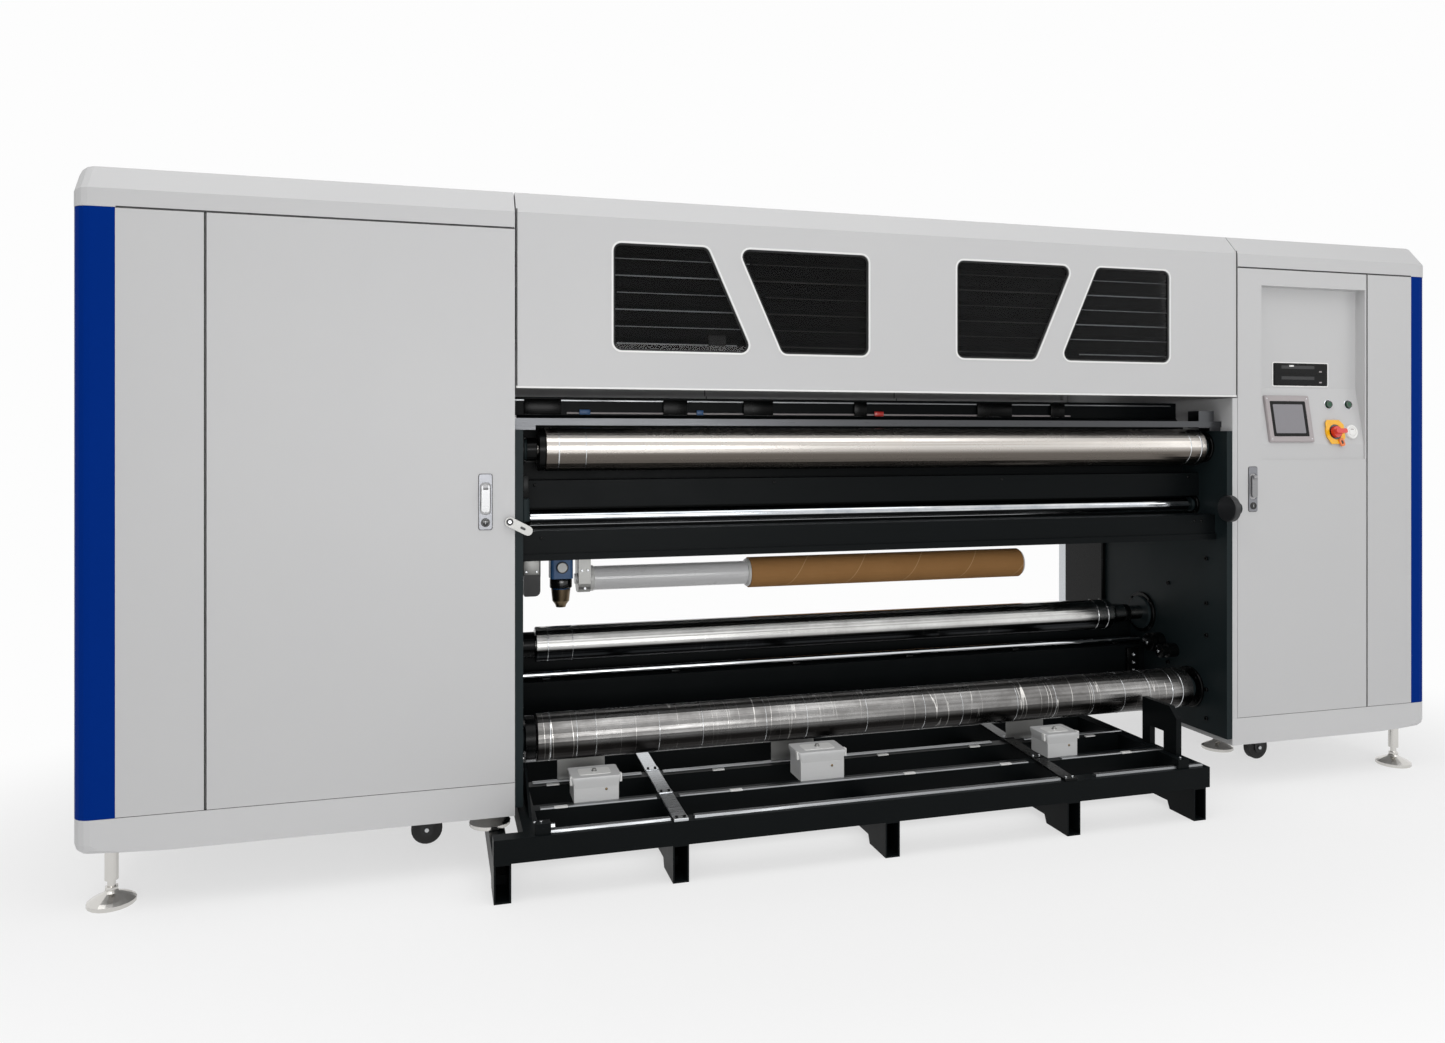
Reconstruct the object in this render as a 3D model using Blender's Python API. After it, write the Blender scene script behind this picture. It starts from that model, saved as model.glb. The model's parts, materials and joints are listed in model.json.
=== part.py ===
"""Wide-format roll-to-roll inkjet printer: two cabinets, a windowed cover that lifts,
a roller frame between two side plates, a take-up shaft and a loading platform.

Metres, +Z up, +X to the operator's right, the operator stands at -Y.
The origin is the middle of the whole machine on the floor.
"""
import math

import bmesh
import bpy
from mathutils import Matrix, Vector

# ---------------------------------------------------------------- overall
GAP = 0.0003                  # left between pieces that touch
SEAM = 0.003                  # visible joint between two panels
LENGTH = 3.904                # over both cabinets
BODY_DEPTH = 0.90             # front skin to rear skin
PLATFORM_REACH = 0.18         # platform in front of the cabinets
BODY_CLEARANCE = 0.137        # floor to plinth
PLINTH_HEIGHT = 0.082
PANEL_HEIGHT = 1.380          # doors and corner trims
CAP_HEIGHT = 0.101

# ---------------------------------------------------------------- cabinets
LEFT_CABINET = 0.9785         # widths
RIGHT_CABINET = 0.7505
CARCASS_WALL = 0.040
SKIN = 0.020                  # doors, side panels and corner trims
PLATE_FLOOR = 0.020           # carcass floor and roof
LEFT_TRIM = 0.091             # width of the coloured corner on the front
RIGHT_TRIM = 0.072
TRIM_RETURN = 0.085           # its width on the end of the cabinet
LEFT_PANEL = 0.187            # fixed panel between trim and door
RIGHT_PANEL = 0.182
CORNER_RADIUS = 0.040
PLINTH_RADIUS = 0.025
PLINTH_WALL = 0.045
PLINTH_FLOOR = 0.010
CAP_FACE = 0.042              # upright part of the cap's front
CAP_CHAMFER = 0.050           # how far the slope runs back
CAP_SHEET = 0.012
CAP_WALL = 0.052
INNER_POST = 0.0195           # right cabinet's wall stands this far into the bay below the cover
PANEL_ROOM = 0.004            # carcass's ends and rear stand back behind their bolted panels
DOOR_SHEET = 0.005            # front sheet of a door, folded back all round
DOOR_RIM = 0.028

# ---------------------------------------------------------------- latches
LATCH_HEIGHT = 0.9195         # middle of the lock
LEFT_LATCH_INSET = 0.0715     # from the door's free edge
RIGHT_LATCH_INSET = 0.0555
HANDLE_LENGTH = 0.068
HANDLE_WIDTH = 0.020
HANDLE_THICK = 0.006
HANDLE_TOP = 0.043            # above the middle of the lock
HANDLE_STANDOFF = 0.004       # the lock's face plate lies under the handle
HASP_PIVOT_INSET = 0.0130     # from the door's free edge to the tab's pivot
HASP_PIVOT_HEIGHT = 0.8694
HASP_REACH = 0.0497
HASP_DROOP = math.radians(27.6)
HASP_WIDTH = 0.024
HASP_THICK = 0.005
HASP_STANDOFF = 0.006

# ---------------------------------------------------------------- console in the right door
CONSOLE_LEFT_INSET = 0.0885   # from the door's free edge
CONSOLE_RIGHT_INSET = 0.0065  # from the hinge edge
CONSOLE_BOTTOM = 1.010
CONSOLE_CREASE = 1.057
CONSOLE_BEND = 1.2335
CONSOLE_TOP = 1.5475
CONSOLE_DEPTH = 0.035
CONSOLE_LIP = 0.004
CONSOLE_WALL = 0.004
SCREEN_WIDTH = 0.170
SCREEN_HEIGHT = 0.148
SCREEN_THICK = 0.006
SCREEN_INSET = 0.032          # from the console's left wall
SCREEN_START = 0.006          # up the slope from the crease
BUTTON_RADIUS = 0.0115
BUTTON_PROUD = 0.007
BUTTON_TAIL = 0.008
BUTTON_TRAVEL = 0.003
BUTTON_HEIGHT = 0.128         # up the slope
START_INSET = 0.282           # from the console's left wall
BUTTON_PITCH = 0.078
SWITCH_INSET = 0.290
SWITCH_HEIGHT = 0.0385
SWITCH_PLATE_RADIUS = 0.036
SWITCH_PLATE_THICK = 0.005
KNOB_RADIUS = 0.0185
KNOB_HEIGHT = 0.026
KNOB_BAR = 0.014
KNOB_BASE = 0.010

# ---------------------------------------------------------------- lifting cover
COVER_BOTTOM = 1.202
COVER_WALL = 0.006
HINGE_SETBACK = 0.014         # cover's hinge barrel in front of the rear skin
HINGE_RADIUS = 0.012
WINDOW_BOTTOM = 1.302
WINDOW_TOP = 1.577
WINDOW_PILLAR = 0.269         # solid part in the middle
WINDOW_MARGIN = 0.2445        # from the cover's end to the first window
WINDOW_BAR = 0.083            # slanted bar between two windows
WINDOW_SLANT = 0.0618         # half the sideways run of the slanted edge
WINDOW_RADIUS = 0.021
PANE_THICK = 0.004
PANE_LAP = 0.025
REAR_COVER_THICK = 0.024
REAR_COVER_RIM = 0.020

# ---------------------------------------------------------------- print unit under the cover
BEAM_FRONT = 0.40             # depths behind the front skin
BEAM_DEPTH = 0.14
BEAM_BOTTOM = 1.360
BEAM_HEIGHT = 0.150
BEAM_WALL = 0.008
CARRIAGE_WIDTH = 0.34
CARRIAGE_DEPTH = 0.20
CARRIAGE_BOTTOM = 1.245
CARRIAGE_HEIGHT = 0.260
CARRIAGE_CLEARANCE = 0.001    # between its rear hooks and the beam
CARRIAGE_HOOK = 0.020
CARRIAGE_NECK = 0.050
CARRIAGE_DROP = 0.060         # how far the rear hook hangs behind the beam
CARRIAGE_PARK = 0.03          # from the left end of its travel
PLATEN_FRONT = 0.25
PLATEN_DEPTH = 0.40
PLATEN_TOP = 1.190
PLATEN_HEIGHT = 0.050

# ---------------------------------------------------------------- side plates and beams
SIDE_PLATE = 0.020
SIDE_PLATE_RISE = 0.009       # above the platform's rails
SIDE_PLATE_TOP = 1.098
SIDE_PLATE_SETBACK = 0.024    # from the rear skin to its rear edge
BOSS_LENGTH = 0.016
BOSS_WALL = 0.014
BOSS_EDGE = 0.003
MID_FLANGE_RADIUS = 0.055
UPPER_BEAM = dict(front=0.120, depth=0.060, bottom=0.895, height=0.071)
WEB_TRAY = dict(front=0.050, depth=0.070, bottom=0.764, height=0.076)
TRAY_LIP = 0.017
TRAY_LIP_DEPTH = 0.006
BASE_BEAM = dict(front=0.380, depth=0.080, bottom=0.270, height=0.106)
TUBE_WALL = 0.005
GUIDE_BAR_FRONT = 0.045
GUIDE_BAR_SIZE = 0.018
GUIDE_BAR_RISE = 0.012        # above the side plates
GUIDE_BLOCK_WIDTH = 0.055
GUIDE_BLOCK_INSET = 0.007
GUIDE_BLOCK_DEPTH = 0.050
GUIDE_BLOCK_HEIGHT = 0.062

# rollers: depth behind the front skin, height, radius, shaft radius,
# clear distance of the roller body from the left and from the right side plate
TOP_ROLLER = dict(depth=0.100, height=1.048, radius=0.0565, shaft=0.019, left=0.0640, right=0.0350)
IDLER = dict(depth=0.150, height=0.866, radius=0.0210, shaft=0.009, left=0.0300, right=0.0300)
MID_ROLLER = dict(depth=0.390, height=0.484, radius=0.0500, shaft=0.023, left=0.0680, right=0.1490)
LOWER_ROLLER = dict(depth=0.160, height=0.283, radius=0.0620, shaft=0.022, left=0.0480, right=0.0570)
SHAFT_IN_BOSS = 0.012

HANDWHEEL_RADIUS = 0.040
HANDWHEEL_WIDTH = 0.020
HANDWHEEL_FORWARD = 0.032     # axis in front of the cabinets' front
HANDWHEEL_HEIGHT = 0.864
HANDWHEEL_OFFSET = 0.010      # from the side plate's lug
HANDWHEEL_SHAFT = 0.007
LUG_RADIUS = 0.018
LUG_THICK = 0.012
POST_RADIUS = 0.0105
POST_BOTTOM = 0.8685
POST_HEIGHT = 0.057
POST_EDGE = 0.002
POST_SETBACK = 0.012          # its axis behind the plate's front edge

# ---------------------------------------------------------------- take-up
TAKE_UP_DEPTH = 0.660
TAKE_UP_HEIGHT = 0.632
TAKE_UP_BEAM = dict(front=0.610, depth=0.100, bottom=0.712, height=0.080)
SHAFT_START = 0.262           # from the left side plate to the shaft's bearing
BRACKET_THICK = 0.038
BRACKET_WIDTH = 0.084
SHAFT_LENGTH = 1.532
SHAFT_RADIUS = 0.038
SHAFT_JOURNAL = 0.016
SHAFT_EDGE = 0.004
JOURNAL_PROUD = 0.008
CORE_LENGTH = 1.005
CORE_RADIUS = 0.050
CORE_BACK = 0.528             # white shaft left bare beside the core
MOTOR_INSET = 0.050
MOTOR_WIDTH = 0.056
MOTOR_HEIGHT = 0.126
MOTOR_DEPTH = 0.080
MOTOR_STEP = 0.010
REGULATOR_INSET = 0.138
REGULATOR_WIDTH = 0.070
REGULATOR_BODY = 0.075
BOWL_RADIUS = 0.027
BOWL_LENGTH = 0.090
BOWL_RING = 0.020             # collar between the head and the bowl

# ---------------------------------------------------------------- platform
PLATFORM_LENGTH = 1.979
PLATFORM_OVERHANG = 0.0625    # past the left cabinet's inner edge
PLATFORM_CLEARANCE = 0.008    # from that edge to the rails that run back beside the cabinet
RAIL_BITE = 0.001             # weld of the rails into the skids
SKID_WIDTH = 0.040
SKID_HEIGHT = 0.092
SKID_WALL = 0.004
SKID_FOOT = 0.100             # front part that reaches the floor
SKID_LIFT = 0.022
SKID_PLACES = (0.0205, 0.4445, 1.003, 1.538, 1.9455)   # along the platform
RAIL_HEIGHT = 0.056
RAIL_WIDTH = 0.040
RAIL_DEPTHS = (-0.180, -0.010, 0.170, 0.380)
STRAP_WIDTH = 0.036
STRAP_THICK = 0.005
LEFT_STRAP_PLACES = (0.446, 0.459)    # along the platform at its front and rear ends
RIGHT_STRAP_PLACES = (1.531, 1.594)
SADDLE_PLACES = (0.269, 0.886, 1.633)
SADDLE_WIDTHS = (0.115, 0.125, 0.098)
SADDLE_HEIGHTS = (0.060, 0.074, 0.064)
SADDLE_DEPTH = 0.085
SADDLE_SETBACK = 0.024        # from the second rail's front edge
SADDLE_SHEET = 0.006
GUSSET_FRONT = -0.060
GUSSET_REAR = 0.130
GUSSET_RISE = 0.080
GUSSET_THICK = 0.006
GUSSET_TOP = 0.060
GUSSET_INSET = 0.010          # from the left side plate
CLAMP_SIZE = 0.035
CLAMP_DEPTH = 0.028
CLAMP_RISE = 0.026
CLAMP_INSET = 0.100           # from the platform's right end
STAND_FRONT = -0.065
STAND_REAR = 0.085
STAND_TOP = 0.285
STAND_ARCH = 0.205
STAND_THICK = 0.018
STAND_FRONT_LEG = 0.055
STAND_REAR_LEG = 0.035
STAND_CORNER = 0.030
STAND_BITE = 0.010            # welded this far into the rails

# ---------------------------------------------------------------- feet and castors
FOOT_RADIUS = 0.0515
FOOT_RIM = 0.010
FOOT_DOME = 0.034
FOOT_SLEEVE = 0.0145
FOOT_STEM = 0.0088
FOOT_SHOULDER = 0.057
FOOT_EDGE = 0.002
FOOT_STEP = 0.006
STEM_LEAST = 0.004            # of the stem that shows
SLEEVE_LEAST = 0.006          # of the sleeve above the stem on a foot that stands on something
FOOT_INSET = 0.066            # from the cabinet's outer end
FOOT_FRONT = 0.070
LEFT_INNER_DEPTH = 0.083      # this one stands on the platform's first skid
LEFT_INNER_FOOT = 0.0562      # from the cabinet's inner edge
RIGHT_INNER_DEPTH = 0.370
RIGHT_INNER_FOOT = 0.250
WHEEL_RADIUS = 0.040
WHEEL_WIDTH = 0.026
WHEEL_BORE = 0.006
WHEEL_EDGE = 0.004
WHEEL_HUB = 0.022
WHEEL_HEIGHT = 0.0425
LEFT_WHEEL = 0.2115
RIGHT_WHEEL = 0.2885
WHEEL_FRONT = 0.240
FORK_THICK = 0.004
FORK_WIDTH = 0.034

# ---------------------------------------------------------------- worked out
LEFT_END = -LENGTH / 2
RIGHT_END = LENGTH / 2
FRONT = (PLATFORM_REACH - BODY_DEPTH) / 2
REAR = FRONT + BODY_DEPTH
INNER_LEFT = LEFT_END + LEFT_CABINET
INNER_RIGHT = RIGHT_END - RIGHT_CABINET
POST_RIGHT = INNER_RIGHT - INNER_POST
PLINTH_TOP = BODY_CLEARANCE + PLINTH_HEIGHT
PANEL_TOP = PLINTH_TOP + PANEL_HEIGHT
TOP = PANEL_TOP + CAP_HEIGHT
PLATE_LEFT = INNER_LEFT + GAP + SIDE_PLATE          # faces that look into the bay
PLATE_RIGHT = POST_RIGHT - GAP - SIDE_PLATE
PLATFORM_LEFT = INNER_LEFT - PLATFORM_OVERHANG
PLATFORM_RIGHT = PLATFORM_LEFT + PLATFORM_LENGTH
RAIL_TOP = SKID_HEIGHT + RAIL_HEIGHT
SIDE_PLATE_BOTTOM = RAIL_TOP + SIDE_PLATE_RISE
SIDE_PLATE_DEPTH = BODY_DEPTH - SIDE_PLATE_SETBACK
HINGE_DEPTH = BODY_DEPTH - HINGE_SETBACK
CONSOLE_SLOPE = math.atan2(CONSOLE_DEPTH - CONSOLE_LIP, CONSOLE_BEND - CONSOLE_CREASE)
LEFT_HINGE = LEFT_END + LEFT_TRIM + LEFT_PANEL
RIGHT_HINGE = RIGHT_END - RIGHT_TRIM - RIGHT_PANEL

COLOURS = {                   # colour, roughness, metallic
    "light_enamel": ((0.58, 0.58, 0.58), 0.45, 0.0),
    "blue_enamel": ((0.0, 0.03, 0.22), 0.35, 0.0),
    "black_enamel": ((0.006, 0.007, 0.009), 0.4, 0.0),
    "steel": ((0.55, 0.54, 0.52), 0.28, 1.0),
    "chrome": ((0.75, 0.76, 0.78), 0.08, 1.0),
    "cast_aluminium": ((0.42, 0.42, 0.42), 0.5, 0.8),
    "smoked_acrylic": ((0.01, 0.01, 0.012), 0.1, 0.0),
    "dark_plastic": ((0.012, 0.012, 0.013), 0.45, 0.0),
    "white_plastic": ((0.75, 0.76, 0.78), 0.35, 0.0),
    "cardboard": ((0.42, 0.23, 0.09), 0.8, 0.0),
    "rubber": ((0.008, 0.008, 0.008), 0.75, 0.0),
    "green_lens": ((0.0, 0.12, 0.05), 0.15, 0.0),
    "yellow_plastic": ((0.87, 0.42, 0.0), 0.4, 0.0),
    "red_plastic": ((0.7, 0.02, 0.01), 0.35, 0.0),
    "blue_plastic": ((0.02, 0.13, 0.32), 0.4, 0.0),
}


# ================================================================ tools
def clear_scene():
    for obj in list(bpy.data.objects):
        bpy.data.objects.remove(obj, do_unlink=True)


def finish_of(name):
    """One Principled material for each entry of COLOURS."""
    found = bpy.data.materials.get(name)
    if found:
        return found
    colour, roughness, metallic = COLOURS[name]
    made = bpy.data.materials.new(name)
    made.use_nodes = True
    shader = made.node_tree.nodes["Principled BSDF"]
    shader.inputs["Base Color"].default_value = (*colour, 1.0)
    shader.inputs["Roughness"].default_value = roughness
    shader.inputs["Metallic"].default_value = metallic
    return made


def place(name, mesh_data, finish):
    """Turn a bmesh into a named object with its normals outward."""
    bmesh.ops.recalc_face_normals(mesh_data, faces=mesh_data.faces)
    if mesh_data.calc_volume(signed=True) < 0:
        bmesh.ops.reverse_faces(mesh_data, faces=mesh_data.faces)
    mesh = bpy.data.meshes.new(name)
    mesh_data.to_mesh(mesh)
    mesh_data.free()
    obj = bpy.data.objects.new(name, mesh)
    bpy.context.scene.collection.objects.link(obj)
    mesh.materials.append(finish_of(finish))
    return obj


AXES = {                      # maps an outline's two numbers and the run to x, y, z
    "x": lambda a, b, run: (run, a, b),
    "y": lambda a, b, run: (a, run, b),
    "z": lambda a, b, run: (a, b, run),
}


def extrusion(name, outline, axis, start, stop, finish="light_enamel"):
    """A closed outline pushed along one axis."""
    data = bmesh.new()
    spread = AXES[axis]
    low = [data.verts.new(spread(a, b, start)) for a, b in outline]
    high = [data.verts.new(spread(a, b, stop)) for a, b in outline]
    data.faces.new(low)
    data.faces.new(high)
    count = len(outline)
    for i in range(count):
        j = (i + 1) % count
        data.faces.new((low[i], low[j], high[j], high[i]))
    return place(name, data, finish)


def box(name, x, y, z, finish="light_enamel"):
    return extrusion(name, [(x[0], y[0]), (x[1], y[0]), (x[1], y[1]), (x[0], y[1])], "z", *z, finish)


def turned(name, profile, centre, axis, finish, sides=28, bore=0.0):
    """A solid of revolution; profile is (along, radius) pairs, bore a hole right through."""
    data = bmesh.new()
    points = list(profile)
    if bore:
        points += [(points[-1][0], bore), (points[0][0], bore)]
    turn = {"x": Matrix.Rotation(math.pi / 2, 3, "Y"), "y": Matrix.Rotation(-math.pi / 2, 3, "X"),
            "z": Matrix.Identity(3)}[axis]
    rings = []
    for along, radius in points:
        ring = []
        for k in range(sides):
            angle = 2 * math.pi * k / sides
            spot = Vector((radius * math.cos(angle), radius * math.sin(angle), along))
            ring.append(data.verts.new(turn @ spot + Vector(centre)))
        rings.append(ring)
    pairs = list(zip(rings, rings[1:]))
    if bore:
        pairs.append((rings[-1], rings[0]))
    for one, two in pairs:
        for k in range(sides):
            data.faces.new((one[k], one[(k + 1) % sides], two[(k + 1) % sides], two[k]))
    if not bore:
        data.faces.new(rings[0])
        data.faces.new(rings[-1])
    obj = place(name, data, finish)
    obj.data.shade_smooth()
    obj.data.set_sharp_from_angle(angle=math.radians(35))
    return obj


def rounded(corners, radii, steps=5):
    """The outline with each corner replaced by an arc of its radius."""
    outline = []
    count = len(corners)
    for i, corner in enumerate(corners):
        radius = radii[i] if isinstance(radii, (list, tuple)) else radii
        if radius <= 0:
            outline.append(corner)
            continue
        here = Vector(corner)
        back = (Vector(corners[i - 1]) - here).normalized()
        ahead = (Vector(corners[(i + 1) % count]) - here).normalized()
        half = back.angle(ahead) / 2
        reach = radius / math.tan(half)
        middle = here + (back + ahead).normalized() * (radius / math.sin(half))
        first = (here + back * reach - middle).normalized()
        last = (here + ahead * reach - middle).normalized()
        for k in range(steps + 1):
            outline.append(tuple(middle + first.slerp(last, k / steps) * radius))
    return outline


def cut(target, cutter, operation="DIFFERENCE"):
    """Keep a Boolean on the target; its operand is a hidden guide."""
    cutter.hide_render = True
    cutter.display_type = "WIRE"
    step = target.modifiers.new(cutter.name, "BOOLEAN")
    step.operation = operation
    step.solver = "EXACT"
    step.object = cutter
    return target


def weld(target, piece):
    return cut(target, piece, "UNION")


def round_edges(obj, chosen, radius, steps=4):
    """Round the edges for which chosen(a, b) is true of their two ends."""
    data = bmesh.new()
    data.from_mesh(obj.data)
    edges = [e for e in data.edges if chosen(e.verts[0].co, e.verts[1].co)]
    bmesh.ops.bevel(data, geom=edges, offset=radius, offset_type="OFFSET", segments=steps,
                    profile=0.5, affect="EDGES", clamp_overlap=True)
    data.to_mesh(obj.data)
    data.free()


def near(a, b):
    return abs(a - b) < 1e-5


def depth(d):
    """World y of a depth behind the cabinets' front skin."""
    return FRONT + d


# ================================================================ cabinets
def cabinet_side(side):
    """Numbers for one cabinet: outer end, inner edge, hinge line, direction to the outer end."""
    if side == "left":
        return LEFT_END, INNER_LEFT, LEFT_HINGE, -1
    return RIGHT_END, INNER_RIGHT, RIGHT_HINGE, 1


def make_carcass(side):
    """Welded cabinet body: open front, closed ends, floor, roof and rear."""
    outer, inner, hinge, out = cabinet_side(side)
    trim = LEFT_TRIM if side == "left" else RIGHT_TRIM
    behind = FRONT + SKIN + GAP
    step = outer - out * (SKIN + GAP)
    end, rear = outer - out * PANEL_ROOM, REAR - PANEL_ROOM
    shell = [(inner, behind), (step, behind), (step, depth(TRIM_RETURN) + GAP),
             (end, depth(TRIM_RETURN) + GAP), (end, rear), (inner, rear)]
    radii = [0, CORNER_RADIUS / 2, 0, 0, CORNER_RADIUS, 0]
    body = extrusion(side + "_cabinet", rounded(shell, radii), "z", PLINTH_TOP + GAP, PANEL_TOP)
    inside = (outer - out * (CARCASS_WALL + SKIN), inner + out * CARCASS_WALL)
    if side == "right":
        section = [(POST_RIGHT, FRONT), (inner - SEAM / 2, FRONT), (inner - SEAM / 2, behind),
                   (inner + CARCASS_WALL / 2, behind), (inner + CARCASS_WALL / 2, rear), (POST_RIGHT, rear)]
        weld(body, extrusion("right_post", section, "z", PLINTH_TOP + GAP, COVER_BOTTOM - SEAM))
    hollow = box(side + "_hollow", inside, (behind + CARCASS_WALL, REAR - CARCASS_WALL),
                 (PLINTH_TOP + PLATE_FLOOR, PANEL_TOP - PLATE_FLOOR))
    cut(body, hollow)
    doorway = box(side + "_doorway", (hinge + out * GAP, inner + out * CARCASS_WALL),
                  (FRONT - CARCASS_WALL, behind + 2 * CARCASS_WALL),
                  (PLINTH_TOP + PLATE_FLOOR, PANEL_TOP - PLATE_FLOOR))
    cut(body, doorway)
    recess = box(side + "_panel_recess",
                 (outer - out * (trim + CARCASS_WALL / 2), hinge + out * CARCASS_WALL),
                 (FRONT - CARCASS_WALL, behind + 2 * CARCASS_WALL),
                 (PLINTH_TOP + PLATE_FLOOR, PANEL_TOP - PLATE_FLOOR))
    cut(body, recess)
    return body


def make_corner_trim(side):
    """Coloured corner, wrapped round the outer front edge."""
    outer, _, _, out = cabinet_side(side)
    width = LEFT_TRIM if side == "left" else RIGHT_TRIM
    edge = outer - out * width
    corners = [(edge, FRONT), (outer, FRONT), (outer, depth(TRIM_RETURN)),
               (outer - out * SKIN, depth(TRIM_RETURN)), (outer - out * SKIN, FRONT + SKIN),
               (edge, FRONT + SKIN)]
    radii = [0, CORNER_RADIUS, 0, 0, CORNER_RADIUS / 2, 0]
    extrusion(side + "_corner_trim", rounded(corners, radii), "z", PLINTH_TOP + GAP, PANEL_TOP,
              "blue_enamel")


def make_side_panel(side):
    """Fixed front panel between the corner trim and the door."""
    outer, _, hinge, out = cabinet_side(side)
    trim = LEFT_TRIM if side == "left" else RIGHT_TRIM
    box(side + "_side_panel", (outer - out * (trim + GAP), hinge + out * SEAM / 2),
        (FRONT, FRONT + SKIN), (PLINTH_TOP + SEAM / 2, PANEL_TOP - SEAM / 2))


def make_cap(side):
    """Folded top cap: short face, slope, flat roof, rounded at its outer end, open below."""
    outer, inner, _, out = cabinet_side(side)
    base = PANEL_TOP + GAP
    outline = cap_outline(FRONT, REAR, base)
    cap = extrusion(side + "_top_cap", outline, "x", outer, inner)
    round_edges(cap, lambda a, b: near(a.x, outer) and near(b.x, outer) and not (
        near(a.z, base) and near(b.z, base)), CORNER_RADIUS * 0.9)
    hollow = extrusion(side + "_cap_hollow",
                       cap_outline(FRONT + CAP_WALL, REAR - CAP_WALL, base - CAP_WALL, TOP - CAP_SHEET),
                       "x", outer - out * CAP_WALL, inner + out * CAP_SHEET)
    cut(cap, hollow)


def cap_outline(front, rear, base, top=None):
    """Front face, slope, roof, slope and rear face of the caps, as depth and height."""
    top = TOP if top is None else top
    return [(front, base), (front, top - CAP_HEIGHT + CAP_FACE), (front + CAP_CHAMFER, top),
            (rear - CAP_CHAMFER, top), (rear, top - CAP_HEIGHT + CAP_FACE), (rear, base)]


def make_plinth(side):
    """Tray under the cabinet, with the forks of its two castors."""
    outer, inner, _, out = cabinet_side(side)
    edge = inner if side == "left" else POST_RIGHT
    corners = [(edge, FRONT), (outer, FRONT), (outer, REAR), (edge, REAR)]
    tray = extrusion(side + "_plinth", rounded(corners, [0, CORNER_RADIUS, CORNER_RADIUS, 0]),
                     "z", BODY_CLEARANCE, PLINTH_TOP)
    round_edges(tray, lambda a, b: near(a.z, BODY_CLEARANCE) and near(b.z, BODY_CLEARANCE)
                and (a.x - edge) * out > 1e-4 and (b.x - edge) * out > 1e-4, PLINTH_RADIUS, 3)
    hollow = box(side + "_plinth_hollow",
                 (outer - out * PLINTH_WALL, edge + out * PLINTH_WALL),
                 (FRONT + PLINTH_WALL, REAR - PLINTH_WALL),
                 (BODY_CLEARANCE + PLINTH_FLOOR, PLINTH_TOP + PLINTH_FLOOR))
    cut(tray, hollow)
    for number, spot in enumerate(wheel_spots(side)):
        add_fork(tray, "%s_fork_%d" % (side, number), spot)
    return tray


def wheel_spots(side):
    """Centres of a cabinet's front and rear castor wheels."""
    _, inner, _, out = cabinet_side(side)
    reach = LEFT_WHEEL if side == "left" else RIGHT_WHEEL
    x = inner + out * reach
    return [(x, depth(WHEEL_FRONT), WHEEL_HEIGHT), (x, depth(BODY_DEPTH - WHEEL_FRONT), WHEEL_HEIGHT)]


def add_fork(tray, name, spot):
    """Two cheeks and an axle, welded to the plinth."""
    x, y, z = spot
    inside = WHEEL_WIDTH / 2 + 3 * GAP
    for sign, end in ((-1, "front"), (1, "rear")):
        cheek = rounded([(x - FORK_WIDTH / 2, BODY_CLEARANCE + 0.002),
                         (x + FORK_WIDTH / 2, BODY_CLEARANCE + 0.002),
                         (x + FORK_WIDTH / 2, z - FORK_WIDTH / 2),
                         (x - FORK_WIDTH / 2, z - FORK_WIDTH / 2)],
                        [0, 0, FORK_WIDTH * 0.45, FORK_WIDTH * 0.45], 4)
        near_face = y + sign * inside
        weld(tray, extrusion("%s_%s" % (name, end), cheek, "y", near_face,
                             near_face + sign * FORK_THICK))
    axle = inside + FORK_THICK + 0.002
    weld(tray, turned(name + "_axle", [(-axle, WHEEL_BORE), (axle, WHEEL_BORE)], (x, y, z), "y",
                      "steel", 16))


def make_wheel(name, spot):
    half = WHEEL_WIDTH / 2
    tread = half - WHEEL_EDGE
    turned(name, [(-half, WHEEL_HUB), (-half, WHEEL_RADIUS - WHEEL_EDGE), (-tread, WHEEL_RADIUS),
                  (tread, WHEEL_RADIUS), (half, WHEEL_RADIUS - WHEEL_EDGE), (half, WHEEL_HUB)],
           spot, "y", "rubber", 24, bore=WHEEL_BORE + GAP)


def make_foot(name, x, d, base=0.0):
    """Levelling foot: domed pad, threaded stem and the sleeve that goes up into the plinth."""
    top = BODY_CLEARANCE - GAP - base
    dome = min(FOOT_DOME, top - SLEEVE_LEAST - STEM_LEAST)
    low = dome / FOOT_DOME        # a pad with less room above it is flatter all over
    shoulder = min(FOOT_SHOULDER, top - SLEEVE_LEAST)
    turned(name, [(0.0, FOOT_RADIUS - FOOT_EDGE), (FOOT_EDGE * low, FOOT_RADIUS),
                  (FOOT_RIM * low, FOOT_RADIUS), ((FOOT_RIM + FOOT_STEP) * low, FOOT_RADIUS * 0.84),
                  (dome - FOOT_STEP * low, FOOT_SLEEVE * 1.2), (dome, FOOT_SLEEVE * 0.85),
                  (dome, FOOT_STEM), (shoulder, FOOT_STEM), (shoulder, FOOT_SLEEVE), (top, FOOT_SLEEVE)],
           (x, depth(d), base), "z", "steel", 20)


# ================================================================ doors
def make_left_door():
    door = box("left_door", (LEFT_HINGE + SEAM / 2, INNER_LEFT), (FRONT, FRONT + SKIN),
               (PLINTH_TOP + SEAM / 2, PANEL_TOP - SEAM / 2))
    cut(door, box("left_door_pocket", (LEFT_HINGE + DOOR_RIM, INNER_LEFT - DOOR_RIM),
                  (FRONT + DOOR_SHEET, FRONT + 2 * SKIN), (PLINTH_TOP + DOOR_RIM, PANEL_TOP - DOOR_RIM)))
    make_handle("left_latch_handle", INNER_LEFT - LEFT_LATCH_INSET)
    make_hasp(INNER_LEFT - HASP_PIVOT_INSET)
    return door


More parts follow.
